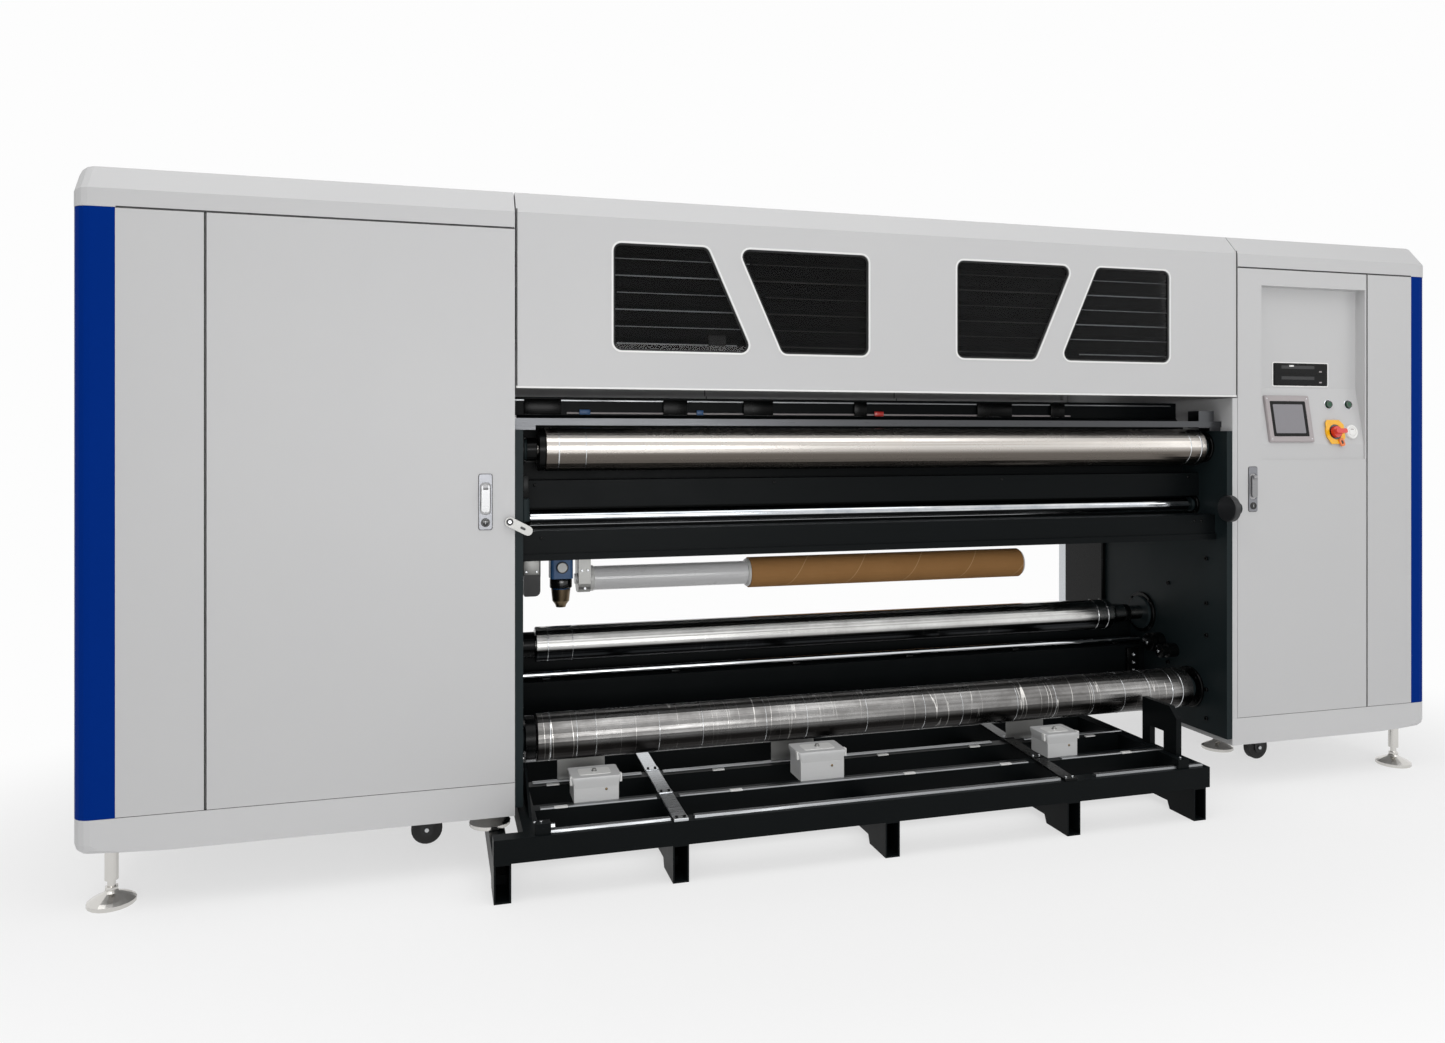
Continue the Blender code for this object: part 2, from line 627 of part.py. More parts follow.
def console_outline(open_front):
    """Recess of the console seen from its end, as world y and height."""
    return [(open_front, CONSOLE_BOTTOM), (depth(CONSOLE_LIP), CONSOLE_BOTTOM),
            (depth(CONSOLE_LIP), CONSOLE_CREASE), (depth(CONSOLE_DEPTH), CONSOLE_BEND),
            (depth(CONSOLE_DEPTH), CONSOLE_TOP), (open_front, CONSOLE_TOP)]


def console_span():
    return INNER_RIGHT + CONSOLE_LEFT_INSET, RIGHT_HINGE - CONSOLE_RIGHT_INSET


def on_slope(x, up, proud=0.0):
    """World place on the console's slope, measured up from the crease."""
    y = depth(CONSOLE_LIP) + up * math.sin(CONSOLE_SLOPE) - proud * math.cos(CONSOLE_SLOPE)
    z = CONSOLE_CREASE + up * math.cos(CONSOLE_SLOPE) + proud * math.sin(CONSOLE_SLOPE)
    return Vector((x, y, z))


def lean(obj, spot):
    """Stand a piece, built around its own origin facing -Y, on the console's slope."""
    obj.location = spot
    obj.rotation_euler = (-CONSOLE_SLOPE, 0.0, 0.0)
    return obj


def make_right_door():
    """Door with the control console pressed into it."""
    left, right = console_span()
    door = box("right_door", (INNER_RIGHT, RIGHT_HINGE - SEAM / 2), (FRONT, FRONT + SKIN),
               (PLINTH_TOP + SEAM / 2, PANEL_TOP - SEAM / 2))
    cut(door, box("right_door_pocket", (INNER_RIGHT + DOOR_RIM, RIGHT_HINGE - DOOR_RIM),
                  (FRONT + DOOR_SHEET, FRONT + 2 * SKIN),
                  (PLINTH_TOP + DOOR_RIM, CONSOLE_BOTTOM - DOOR_RIM)))
    back = box("console_back", (left - CONSOLE_WALL, right + CONSOLE_WALL),
               (FRONT + SKIN / 2, depth(CONSOLE_DEPTH + CONSOLE_WALL * 2)),
               (CONSOLE_BOTTOM - CONSOLE_WALL, CONSOLE_TOP + CONSOLE_WALL))
    weld(door, back)
    cut(door, extrusion("console_recess", console_outline(FRONT - SKIN), "x", left, right))
    start = left + START_INSET
    for name, x in (("start_button", start), ("stop_button", start + BUTTON_PITCH)):
        bore = turned(name + "_bore", [(-SKIN, BUTTON_RADIUS + GAP),
                                       (BUTTON_TAIL + BUTTON_TRAVEL + 0.002, BUTTON_RADIUS + GAP)],
                      (0, 0, 0), "y", "dark_plastic", 24)
        cut(door, lean(bore, on_slope(x, BUTTON_HEIGHT)))
        button = turned(name, [(-BUTTON_PROUD, BUTTON_RADIUS - 0.003),
                               (-BUTTON_PROUD + 0.002, BUTTON_RADIUS), (BUTTON_TAIL, BUTTON_RADIUS)],
                        (0, 0, 0), "y", "green_lens", 24)
        lean(button, on_slope(x, BUTTON_HEIGHT))
    make_handle("right_latch_handle", INNER_RIGHT + RIGHT_LATCH_INSET)
    make_screen(left + SCREEN_INSET + SCREEN_WIDTH / 2)
    make_switch(left + SWITCH_INSET)
    return door


def make_screen(x):
    half = SCREEN_WIDTH / 2
    panel = extrusion("touch_panel", rounded([(-half, 0), (half, 0), (half, SCREEN_HEIGHT),
                                              (-half, SCREEN_HEIGHT)], 0.004, 3),
                      "y", -GAP - SCREEN_THICK, -GAP, "dark_plastic")
    lean(panel, on_slope(x, SCREEN_START))


def make_switch(x):
    """Main isolator: round yellow plate and a red knob that turns on it."""
    plate = turned("switch_plate", [(-GAP - SWITCH_PLATE_THICK, SWITCH_PLATE_RADIUS),
                                    (-GAP, SWITCH_PLATE_RADIUS)], (0, 0, 0), "y", "yellow_plastic", 32)
    lean(plate, on_slope(x, SWITCH_HEIGHT))
    base = -2 * GAP - SWITCH_PLATE_THICK
    knob = turned("switch_knob", [(base - KNOB_BASE, KNOB_RADIUS - 0.001), (base, KNOB_RADIUS)],
                  (0, 0, 0), "y", "red_plastic", 24)
    reach, half = KNOB_RADIUS * 1.15, KNOB_BAR / 2
    outline = rounded([(-reach, -half), (reach, -half), (reach, half), (-reach, half)], 0.004, 3)
    bar = extrusion("knob_bar", outline, "y", base - KNOB_HEIGHT, base - KNOB_BASE / 3)
    lean(bar, on_slope(x, SWITCH_HEIGHT))
    weld(lean(knob, on_slope(x, SWITCH_HEIGHT)), bar)


def make_handle(name, x):
    """Flip-out handle of the door lock, hinged on a knuckle at its upper end."""
    half = HANDLE_WIDTH / 2
    top = LATCH_HEIGHT + HANDLE_TOP
    outline = rounded([(x - half, top - HANDLE_LENGTH), (x + half, top - HANDLE_LENGTH), (x + half, top),
                       (x - half, top)], half * 0.7, 4)
    handle = extrusion(name, outline, "y", FRONT - HANDLE_STANDOFF - HANDLE_THICK, FRONT - HANDLE_STANDOFF,
                       "steel")
    knuckle = HANDLE_STANDOFF + HANDLE_THICK / 2 - GAP
    weld(handle, turned(name + "_knuckle", [(-half * 0.6, knuckle), (half * 0.6, knuckle)],
                        (x, FRONT - HANDLE_STANDOFF - HANDLE_THICK / 2, top - knuckle), "x", "steel", 20))


def make_hasp(x):
    """Turn tab on the door's edge that laps over the side plate."""
    half = HASP_WIDTH / 2
    tip = Vector((math.cos(HASP_DROOP), -math.sin(HASP_DROOP))) * HASP_REACH
    outline = []
    for middle, start in ((Vector((0, 0)), math.pi / 2 - HASP_DROOP), (tip, -math.pi / 2 - HASP_DROOP)):
        for k in range(9):
            angle = start + math.pi * k / 8
            outline.append((x + middle.x + half * math.cos(angle),
                            HASP_PIVOT_HEIGHT + middle.y + half * math.sin(angle)))
    tab = extrusion("door_hasp", outline, "y", FRONT - HASP_STANDOFF - HASP_THICK, FRONT - HASP_STANDOFF,
                    "steel")
    stud = turned("hasp_stud", [(-HASP_STANDOFF - HASP_THICK / 2, 0.007), (-GAP, 0.007)],
                  (x, FRONT, HASP_PIVOT_HEIGHT), "y", "steel", 16)
    weld(tab, stud)


# ================================================================ cover and print unit
def cover_span():
    return INNER_LEFT + SEAM, INNER_RIGHT - SEAM


def window_outlines():
    """The four window shapes from left to right, as x and height."""
    left, right = cover_span()
    middle = (left + right) / 2
    near_edge = WINDOW_PILLAR / 2
    far_edge = (right - left) / 2 - WINDOW_MARGIN
    bar = (near_edge + far_edge) / 2
    outer = [(far_edge, WINDOW_BOTTOM), (far_edge, WINDOW_TOP),
             (bar + WINDOW_BAR / 2 + WINDOW_SLANT, WINDOW_TOP),
             (bar + WINDOW_BAR / 2 - WINDOW_SLANT, WINDOW_BOTTOM)]
    inner = [(near_edge, WINDOW_BOTTOM), (bar - WINDOW_BAR / 2 - WINDOW_SLANT, WINDOW_BOTTOM),
             (bar - WINDOW_BAR / 2 + WINDOW_SLANT, WINDOW_TOP), (near_edge, WINDOW_TOP)]
    shapes = []
    for sign in (-1, 1):
        for corners in (outer, inner):
            shapes.append([(middle + sign * x, z) for x, z in corners])
    return shapes, middle, near_edge, far_edge


def make_cover():
    """Lifting cover: front with four windows, sloped top and roof, hinged on a barrel behind."""
    left, right = cover_span()
    hinge = depth(HINGE_DEPTH)
    outer = [(FRONT, COVER_BOTTOM), (FRONT, PANEL_TOP + CAP_FACE), (FRONT + CAP_CHAMFER, TOP),
             (hinge, TOP), (hinge, COVER_BOTTOM + CAP_HEIGHT)]
    cover = extrusion("top_cover", outer, "x", left, right)
    wall = COVER_WALL
    inner = [(FRONT + wall, COVER_BOTTOM - wall), (FRONT + wall, PANEL_TOP + CAP_FACE - wall / 3),
             (FRONT + CAP_CHAMFER + wall / 3, TOP - wall), (hinge + wall, TOP - wall),
             (hinge + wall, COVER_BOTTOM - wall)]
    cut(cover, extrusion("cover_hollow", inner, "x", left - wall, right + wall))
    weld(cover, turned("cover_barrel", [(left, HINGE_RADIUS), (right, HINGE_RADIUS)],
                       (0, hinge, TOP - HINGE_RADIUS), "x", "light_enamel", 16))
    shapes, middle, near_edge, far_edge = window_outlines()
    for number, corners in enumerate(shapes):
        cut(cover, extrusion("window_opening_%d" % number, rounded(corners, WINDOW_RADIUS), "y",
                             FRONT - wall, FRONT + 2 * wall))
    behind = FRONT + wall + GAP
    for name, sign in (("left_window", -1), ("right_window", 1)):
        span = sorted((middle + sign * (near_edge - PANE_LAP), middle + sign * (far_edge + PANE_LAP)))
        box(name, span, (behind, behind + PANE_THICK),
            (WINDOW_BOTTOM - PANE_LAP, WINDOW_TOP + PANE_LAP), "smoked_acrylic")
    return cover


def make_rear_cover():
    """Fixed panel behind the print unit; the cover's hinge barrel turns along its top edge."""
    span = (INNER_LEFT + GAP, INNER_RIGHT - GAP)
    height = (COVER_BOTTOM, TOP - 2 * HINGE_RADIUS - GAP)
    panel = box("rear_cover", span, (REAR - REAR_COVER_THICK, REAR), height)
    rim = REAR_COVER_RIM
    cut(panel, box("rear_cover_hollow", (span[0] + rim, span[1] - rim),
                   (REAR - REAR_COVER_THICK - rim, REAR - 0.004), (height[0] + rim, height[1] - rim)))


def make_print_unit():
    """Beam between the cabinets, carriage hung on its front, platen below."""
    span = (INNER_LEFT + GAP, INNER_RIGHT - GAP)
    front, top = depth(BEAM_FRONT), BEAM_BOTTOM + BEAM_HEIGHT
    rear = front + BEAM_DEPTH
    beam = box("carriage_beam", span, (front, rear), (BEAM_BOTTOM, top), "cast_aluminium")
    cut(beam, box("beam_bore", (span[0] - 0.1, span[1] + 0.1), (front + BEAM_WALL, rear - BEAM_WALL),
                  (BEAM_BOTTOM + BEAM_WALL, top - BEAM_WALL)))
    start = span[0] + COVER_WALL + CARRIAGE_PARK
    face = front - CARRIAGE_CLEARANCE
    carriage = box("print_carriage", (start, start + CARRIAGE_WIDTH), (face - CARRIAGE_DEPTH, face),
                   (CARRIAGE_BOTTOM, CARRIAGE_BOTTOM + CARRIAGE_HEIGHT), "dark_plastic")
    inside = (start + CARRIAGE_HOOK, start + CARRIAGE_WIDTH - CARRIAGE_HOOK)
    hook_bottom, hook_top = top + GAP, top + GAP + CARRIAGE_HOOK
    behind = rear + CARRIAGE_CLEARANCE
    neck_front = face - CARRIAGE_NECK
    weld(carriage, box("carriage_saddle", inside, (neck_front, behind + CARRIAGE_HOOK),
                       (hook_bottom, hook_top)))
    weld(carriage, box("carriage_neck", inside, (neck_front, face),
                       (CARRIAGE_BOTTOM + CARRIAGE_HEIGHT / 2, hook_top)))
    weld(carriage, box("carriage_hook", inside, (behind, behind + CARRIAGE_HOOK),
                       (top - CARRIAGE_DROP, hook_top)))
    front = depth(PLATEN_FRONT)
    box("platen", (INNER_LEFT + GAP, POST_RIGHT - GAP), (front, front + PLATEN_DEPTH),
        (PLATEN_TOP - PLATEN_HEIGHT, PLATEN_TOP), "cast_aluminium")


# ================================================================ roller frame
ROLLERS = {"top_roller": (TOP_ROLLER, "steel"), "idler_roller": (IDLER, "chrome"),
           "mid_roller": (MID_ROLLER, "steel"), "lower_roller": (LOWER_ROLLER, "steel")}


def boss_radius(name):
    """Outer radius of a roller's bearing boss; the mid roller runs in a round flange."""
    return MID_FLANGE_RADIUS if name == "mid_roller" else ROLLERS[name][0]["shaft"] + BOSS_WALL


def make_side_plates():
    """Two plates that carry every roller in blind bearing bosses."""
    sides = (("left_side_plate", (INNER_LEFT + GAP, PLATE_LEFT), PLATE_LEFT, 0.0),
             ("right_side_plate", (PLATE_RIGHT, POST_RIGHT - GAP), PLATE_RIGHT, math.pi))
    plates = []
    for plate_name, span, face, turn in sides:
        plate = box(plate_name, span, (FRONT, depth(SIDE_PLATE_DEPTH)), (SIDE_PLATE_BOTTOM, SIDE_PLATE_TOP),
                    "black_enamel")
        for name in ROLLERS:
            add_boss(plate, name, face, turn)
        plates.append(plate)
    left, right = plates
    weld(left, turned("plunger_post", [(0.0, POST_RADIUS), (POST_HEIGHT - POST_EDGE, POST_RADIUS),
                                       (POST_HEIGHT, POST_RADIUS - POST_EDGE)],
                      (PLATE_LEFT + POST_RADIUS * 0.6, FRONT + POST_SETBACK, POST_BOTTOM), "z",
                      "black_enamel", 16))
    add_handwheel_lug(right)


def add_boss(plate, name, face, turn):
    """Bearing boss on a plate's inner face, bored for the roller's shaft end."""
    roller = ROLLERS[name][0]
    outer, bore = boss_radius(name), roller["shaft"] + GAP
    shapes = ((weld, "_boss", [(-SIDE_PLATE / 2, outer), (BOSS_LENGTH - BOSS_EDGE, outer),
                               (BOSS_LENGTH, outer - BOSS_EDGE)]),
              (cut, "_bore", [(BOSS_LENGTH - SHAFT_IN_BOSS - GAP, bore), (BOSS_LENGTH * 2, bore)]))
    for join, suffix, profile in shapes:
        shape = turned(name + "_" + plate.name + suffix, profile, (0, 0, 0), "x", "black_enamel", 24)
        shape.location = (face, depth(roller["depth"]), roller["height"])
        shape.rotation_euler = (0, 0, turn)
        join(plate, shape)


def add_handwheel_lug(plate):
    """Ear at the front of the right plate, bored for the handwheel's shaft."""
    y = FRONT - HANDWHEEL_FORWARD
    root, tip = FRONT + SIDE_PLATE, y - LUG_RADIUS
    low, high = HANDWHEEL_HEIGHT - LUG_RADIUS, HANDWHEEL_HEIGHT + LUG_RADIUS
    lug = rounded([(root, low), (tip, low), (tip, high), (root, high)],
                  [0, LUG_RADIUS * 0.9, LUG_RADIUS * 0.9, 0], 4)
    weld(plate, extrusion("handwheel_lug", lug, "x", PLATE_RIGHT, PLATE_RIGHT + LUG_THICK))
    bore = HANDWHEEL_SHAFT + GAP
    cut(plate, turned("handwheel_bore", [(-SIDE_PLATE, bore), (SIDE_PLATE, bore)],
                      (PLATE_RIGHT, y, HANDWHEEL_HEIGHT), "x", "steel", 16))


def make_roller(name, sizes, finish):
    """Roller body with end flanges and the shaft ends that sit in the bosses."""
    start = PLATE_LEFT + sizes["left"]
    stop = PLATE_RIGHT - sizes["right"]
    shaft, radius = sizes["shaft"], sizes["radius"]
    tip_left = PLATE_LEFT + BOSS_LENGTH - SHAFT_IN_BOSS
    tip_right = PLATE_RIGHT - BOSS_LENGTH + SHAFT_IN_BOSS
    edge = 0.002
    turned(name, [(tip_left, shaft), (start - edge, shaft), (start - edge, radius - edge), (start, radius),
                  (stop, radius), (stop + edge, radius - edge), (stop + edge, shaft), (tip_right, shaft)],
           (0, depth(sizes["depth"]), sizes["height"]), "x", finish, 36)


def tube(name, sizes, span, finish="black_enamel", wall=TUBE_WALL):
    """Square tube between two end faces, open at both ends."""
    front = depth(sizes["front"])
    rear = front + sizes["depth"]
    low, high = sizes["bottom"], sizes["bottom"] + sizes["height"]
    made = box(name, span, (front, rear), (low, high), finish)
    cut(made, box(name + "_bore", (span[0] - 0.1, span[1] + 0.1), (front + wall, rear - wall),
                  (low + wall, high - wall)))
    return made


def make_roller_frame():
    make_side_plates()
    for name, (sizes, finish) in ROLLERS.items():
        make_roller(name, sizes, finish)
    span = (PLATE_LEFT + GAP, PLATE_RIGHT - GAP)
    tube("upper_beam", UPPER_BEAM, span)
    tray = tube("web_tray", WEB_TRAY, span)
    face, low = depth(WEB_TRAY["front"]), WEB_TRAY["bottom"]
    weld(tray, box("tray_lip", span, (face - TRAY_LIP_DEPTH, face + TUBE_WALL / 2), (low, low + TRAY_LIP)))
    tube("base_beam", BASE_BEAM, span)
    make_guide_bar()
    make_handwheel()


def make_guide_bar():
    """Bright bar above the top roller, with a foot on each side plate and a block at the right."""
    low = SIDE_PLATE_TOP + GUIDE_BAR_RISE
    front = depth(GUIDE_BAR_FRONT)
    left, right = INNER_LEFT + 2 * GAP, POST_RIGHT - 2 * GAP
    bar = box("guide_bar", (left, right), (front, front + GUIDE_BAR_SIZE), (low, low + GUIDE_BAR_SIZE),
              "steel")
    rear = front + GUIDE_BLOCK_DEPTH
    foot_top = low + 0.002
    weld(bar, box("left_bar_foot", (left, left + GUIDE_BLOCK_WIDTH), (front + 0.004, rear),
                  (SIDE_PLATE_TOP + GAP, foot_top)))
    block = PLATE_RIGHT - GUIDE_BLOCK_INSET
    weld(bar, box("right_bar_foot", (block - GUIDE_BLOCK_WIDTH / 4, right), (front + 0.004, rear),
                  (SIDE_PLATE_TOP + GAP, foot_top)))
    weld(bar, box("right_bar_block", (block - GUIDE_BLOCK_WIDTH, block), (front + 0.003, rear),
                  (low - 0.002, SIDE_PLATE_TOP + GUIDE_BLOCK_HEIGHT)))


def make_handwheel():
    face = PLATE_RIGHT - HANDWHEEL_OFFSET
    rim = HANDWHEEL_RADIUS
    turned("handwheel", [(-HANDWHEEL_WIDTH, rim * 0.4), (-HANDWHEEL_WIDTH, rim - 0.003),
                         (-HANDWHEEL_WIDTH + 0.003, rim), (-0.003, rim), (0, rim - 0.003),
                         (0, HANDWHEEL_SHAFT), (HANDWHEEL_OFFSET + SIDE_PLATE * 0.5, HANDWHEEL_SHAFT)],
           (face, FRONT - HANDWHEEL_FORWARD, HANDWHEEL_HEIGHT), "x", "dark_plastic", 32)


# ================================================================ take-up
def make_take_up():
    """Rear beam with a cantilevered shaft, its bearing bracket, drive and air unit."""
    tube("take_up_beam", TAKE_UP_BEAM, (PLATE_LEFT + GAP, PLATE_RIGHT - GAP))
    under = TAKE_UP_BEAM["bottom"] - GAP
    y = depth(TAKE_UP_DEPTH)
    bearing = PLATE_LEFT + SHAFT_START
    half = BRACKET_WIDTH / 2
    low = TAKE_UP_HEIGHT - half
    plate = rounded([(y - half, under), (y - half, low), (y + half, low), (y + half, under)],
                    [0, half * 0.7, half * 0.7, 0])
    bracket = extrusion("take_up_bracket", plate, "x", bearing - BRACKET_THICK, bearing, "cast_aluminium")
    bore = SHAFT_JOURNAL + GAP
    cut(bracket, turned("bracket_bore", [(-BRACKET_THICK * 2, bore), (BRACKET_THICK, bore)],
                        (bearing, y, TAKE_UP_HEIGHT), "x", "steel", 24))
    turned("take_up_shaft", [(-BRACKET_THICK - JOURNAL_PROUD, SHAFT_JOURNAL), (GAP, SHAFT_JOURNAL),
                             (GAP, SHAFT_RADIUS), (SHAFT_LENGTH - SHAFT_EDGE, SHAFT_RADIUS),
                             (SHAFT_LENGTH, SHAFT_RADIUS - SHAFT_EDGE)],
           (bearing, y, TAKE_UP_HEIGHT), "x", "white_plastic", 32)
    turned("cardboard_core", [(CORE_BACK, CORE_RADIUS), (CORE_BACK + CORE_LENGTH, CORE_RADIUS)],
           (bearing, y, TAKE_UP_HEIGHT), "x", "cardboard", 32, bore=SHAFT_RADIUS + GAP)
    make_motor(y, under)
    make_regulator(y, under)


def make_motor(y, under):
    """Take-up drive: square gearbox hung from the beam, with the motor below it."""
    left = PLATE_LEFT + MOTOR_INSET
    right, half = left + MOTOR_WIDTH, MOTOR_DEPTH / 2
    middle, low = under - MOTOR_HEIGHT / 2, under - MOTOR_HEIGHT
    motor = box("take_up_motor", (left, right), (y - half, y + half), (middle, under), "cast_aluminium")
    root, narrow = middle + MOTOR_STEP, left + MOTOR_STEP * 0.6
    outline = rounded([(narrow, root), (narrow, low), (right, low), (right, root)], [0, 0.004, 0.016, 0], 3)
    weld(motor, extrusion("motor_body", outline, "y", y - half * 0.9, y + half * 0.9))


def make_regulator(y, under):
    """Air filter and regulator: square head, ring and tapered bowl."""
    x, half = PLATE_LEFT + REGULATOR_INSET + REGULATOR_WIDTH / 2, REGULATOR_WIDTH / 2
    square = [(x - half, y - half), (x + half, y - half), (x + half, y + half), (x - half, y + half)]
    low = under - REGULATOR_BODY
    head = extrusion("filter_regulator", rounded(square, 0.010, 3), "z", low, under, "blue_plastic")
    ring = BOWL_RADIUS * 1.15
    profile = [(-BOWL_LENGTH, BOWL_RADIUS * 0.3), (-BOWL_LENGTH + 0.010, BOWL_RADIUS * 0.4),
               (-BOWL_LENGTH + 0.030, BOWL_RADIUS * 0.85), (-BOWL_RING, BOWL_RADIUS),
               (-BOWL_RING, ring), (BOWL_RING / 2, ring)]
    weld(head, turned("regulator_bowl", profile, (x, y, low), "z", "dark_plastic", 20))


# ================================================================ platform
def make_platform():
    """Loading platform: four rails over five skids, with end members and a small end stand."""
    rail_left = INNER_LEFT + PLATFORM_CLEARANCE
    height = (SKID_HEIGHT - RAIL_BITE, RAIL_TOP)
    front = depth(RAIL_DEPTHS[0])
    back = depth(RAIL_DEPTHS[-1]) + RAIL_WIDTH
    frame = box("base_frame", (PLATFORM_LEFT, PLATFORM_RIGHT), (front, front + RAIL_WIDTH), height,
                "black_enamel")
    for number, d in enumerate(RAIL_DEPTHS[1:]):
        weld(frame, box("rail_%d" % number, (rail_left, PLATFORM_RIGHT), (depth(d), depth(d) + RAIL_WIDTH),
                        height))
    for name, x in (("left_member", rail_left), ("right_member", PLATFORM_RIGHT - RAIL_WIDTH)):
        weld(frame, box(name, (x, x + RAIL_WIDTH), (front + RAIL_WIDTH / 4, back), height))
    for number, along in enumerate(SKID_PLACES):
        weld(frame, make_skid("skid_%d" % number, PLATFORM_LEFT + along, back))
    add_stand(frame)
    add_gusset(frame)
    return frame


def make_skid(name, x, back):
    """Rectangular tube on edge; only its front and rear ends reach the floor."""
    half = SKID_WIDTH / 2
    front = depth(RAIL_DEPTHS[0])
    side = [(front, 0.0), (front + SKID_FOOT, 0.0), (front + SKID_FOOT + 0.01, SKID_LIFT),
            (back - SKID_FOOT - 0.01, SKID_LIFT), (back - SKID_FOOT, 0.0), (back, 0.0),
            (back, SKID_HEIGHT), (front, SKID_HEIGHT)]
    skid = extrusion(name, side, "x", x - half, x + half, "black_enamel")
    cut(skid, box(name + "_bore", (x - half + SKID_WALL, x + half - SKID_WALL),
                  (front - 0.1, back + 0.1), (SKID_LIFT + SKID_WALL, SKID_HEIGHT - SKID_WALL)))
    for end, y in (("front", front), ("rear", back - SKID_FOOT + SKID_WALL)):
        cut(skid, box("%s_%s_mouth" % (name, end), (x - half + SKID_WALL, x + half - SKID_WALL),
                      (y - SKID_WALL, y + SKID_FOOT), (SKID_WALL, SKID_LIFT + 2 * SKID_WALL)))
    return skid


def add_stand(frame):
    """Upright portal at the platform's right end, under the lower roller's bearing."""
    x = PLATFORM_RIGHT - STAND_THICK
    y0, y1 = depth(STAND_FRONT), depth(STAND_REAR)
    base = RAIL_TOP - STAND_BITE
    inside0, inside1 = y0 + STAND_FRONT_LEG, y1 - STAND_REAR_LEG
    portal = [(y0, base), (inside0, base), (inside0, STAND_ARCH), (inside1, STAND_ARCH), (inside1, base),
              (y1, base), (y1, STAND_TOP), (y0 + STAND_CORNER, STAND_TOP), (y0, STAND_TOP - STAND_CORNER)]
    weld(frame, extrusion("roller_stand", portal, "x", x, x + STAND_THICK))


def add_gusset(frame):
    """Rod clamps on the front rail and the gusset that steadies the left end."""
    y = depth(RAIL_DEPTHS[0]) + RAIL_WIDTH / 2
    for end, x in (("left", INNER_LEFT + CLAMP_SIZE), ("right", PLATFORM_RIGHT - CLAMP_INSET)):
        weld(frame, box("rod_clamp_" + end, (x, x + CLAMP_SIZE), (y - CLAMP_DEPTH / 2, y + CLAMP_DEPTH / 2),
                        (RAIL_TOP - STAND_BITE, RAIL_TOP + CLAMP_RISE)))
    x = PLATE_LEFT + GUSSET_INSET
    y0, y1 = depth(GUSSET_FRONT), depth(GUSSET_REAR)
    low, high = RAIL_TOP - RAIL_HEIGHT / 2, RAIL_TOP + GUSSET_RISE
    side = [(y0, low), (y1, low), (y1, high), (y1 - GUSSET_TOP, high), (y0, RAIL_TOP)]
    weld(frame, extrusion("gusset", side, "x", x, x + GUSSET_THICK))


def make_platform_fittings():
    """Straps across the rails and the saddle blocks that slide along the platform."""
    front = depth(RAIL_DEPTHS[0]) + 0.002
    back = depth(RAIL_DEPTHS[-1]) + RAIL_WIDTH
    half = STRAP_WIDTH / 2
    for name, places, finish in (("left_strap", LEFT_STRAP_PLACES, "steel"),
                                 ("right_strap", RIGHT_STRAP_PLACES, "black_enamel")):
        near_x, far_x = (PLATFORM_LEFT + along for along in places)
        outline = [(near_x - half, front), (near_x + half, front), (far_x + half, back),
                   (far_x - half, back)]
        extrusion(name, outline, "z", RAIL_TOP + GAP, RAIL_TOP + GAP + STRAP_THICK, finish)
    front = depth(RAIL_DEPTHS[1]) + SADDLE_SETBACK
    for number, sizes in enumerate(zip(SADDLE_PLACES, SADDLE_WIDTHS, SADDLE_HEIGHTS)):
        make_saddle("saddle_block_%d" % (number + 1), front, *sizes)


def make_saddle(name, front, along, width, height):
    """Cast block open below and behind."""
    x, low, half = PLATFORM_LEFT + along, RAIL_TOP + GAP, width / 2
    block = box(name, (x - half, x + half), (front, front + SADDLE_DEPTH), (low, low + height),
                "cast_aluminium")
    cut(block, box(name + "_hollow", (x - half + SADDLE_SHEET, x + half - SADDLE_SHEET),
                   (front + SADDLE_SHEET, front + SADDLE_DEPTH + 0.1),
                   (low - 0.1, low + height - SADDLE_SHEET)))


# ================================================================ whole machine
def make_machine():
    clear_scene()
    for side in ("left", "right"):
        make_carcass(side)
        make_corner_trim(side)
        make_side_panel(side)
        make_cap(side)
        make_plinth(side)
        for number, spot in enumerate(wheel_spots(side)):
            make_wheel("%s_%s_wheel" % (side, ("front", "rear")[number]), spot)
    make_left_door()
    make_right_door()
    make_cover()
    make_rear_cover()
    make_print_unit()
    make_roller_frame()
    make_take_up()
    make_platform()
    make_platform_fittings()
    make_foot("left_front_foot", LEFT_END + FOOT_INSET, FOOT_FRONT)
    make_foot("left_rear_foot", LEFT_END + FOOT_INSET, BODY_DEPTH - FOOT_FRONT)
    make_foot("left_inner_foot", INNER_LEFT - LEFT_INNER_FOOT, LEFT_INNER_DEPTH, SKID_HEIGHT + GAP)
    make_foot("right_front_foot", RIGHT_END - FOOT_INSET, FOOT_FRONT)
    make_foot("right_rear_foot", RIGHT_END - FOOT_INSET, BODY_DEPTH - FOOT_FRONT)
    make_foot("right_inner_foot", INNER_RIGHT + RIGHT_INNER_FOOT, RIGHT_INNER_DEPTH)


make_machine()
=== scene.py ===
"""Looks of a wide roll-to-roll inkjet printer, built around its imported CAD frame.

Places are metres in the row frame: +X to the operator's right, -Y towards the operator, +Z up.
Outlines, profiles, thicknesses and shifts are millimetres on such a place.
"""
import json
import math

import bmesh
import bpy
from mathutils import Matrix, Vector


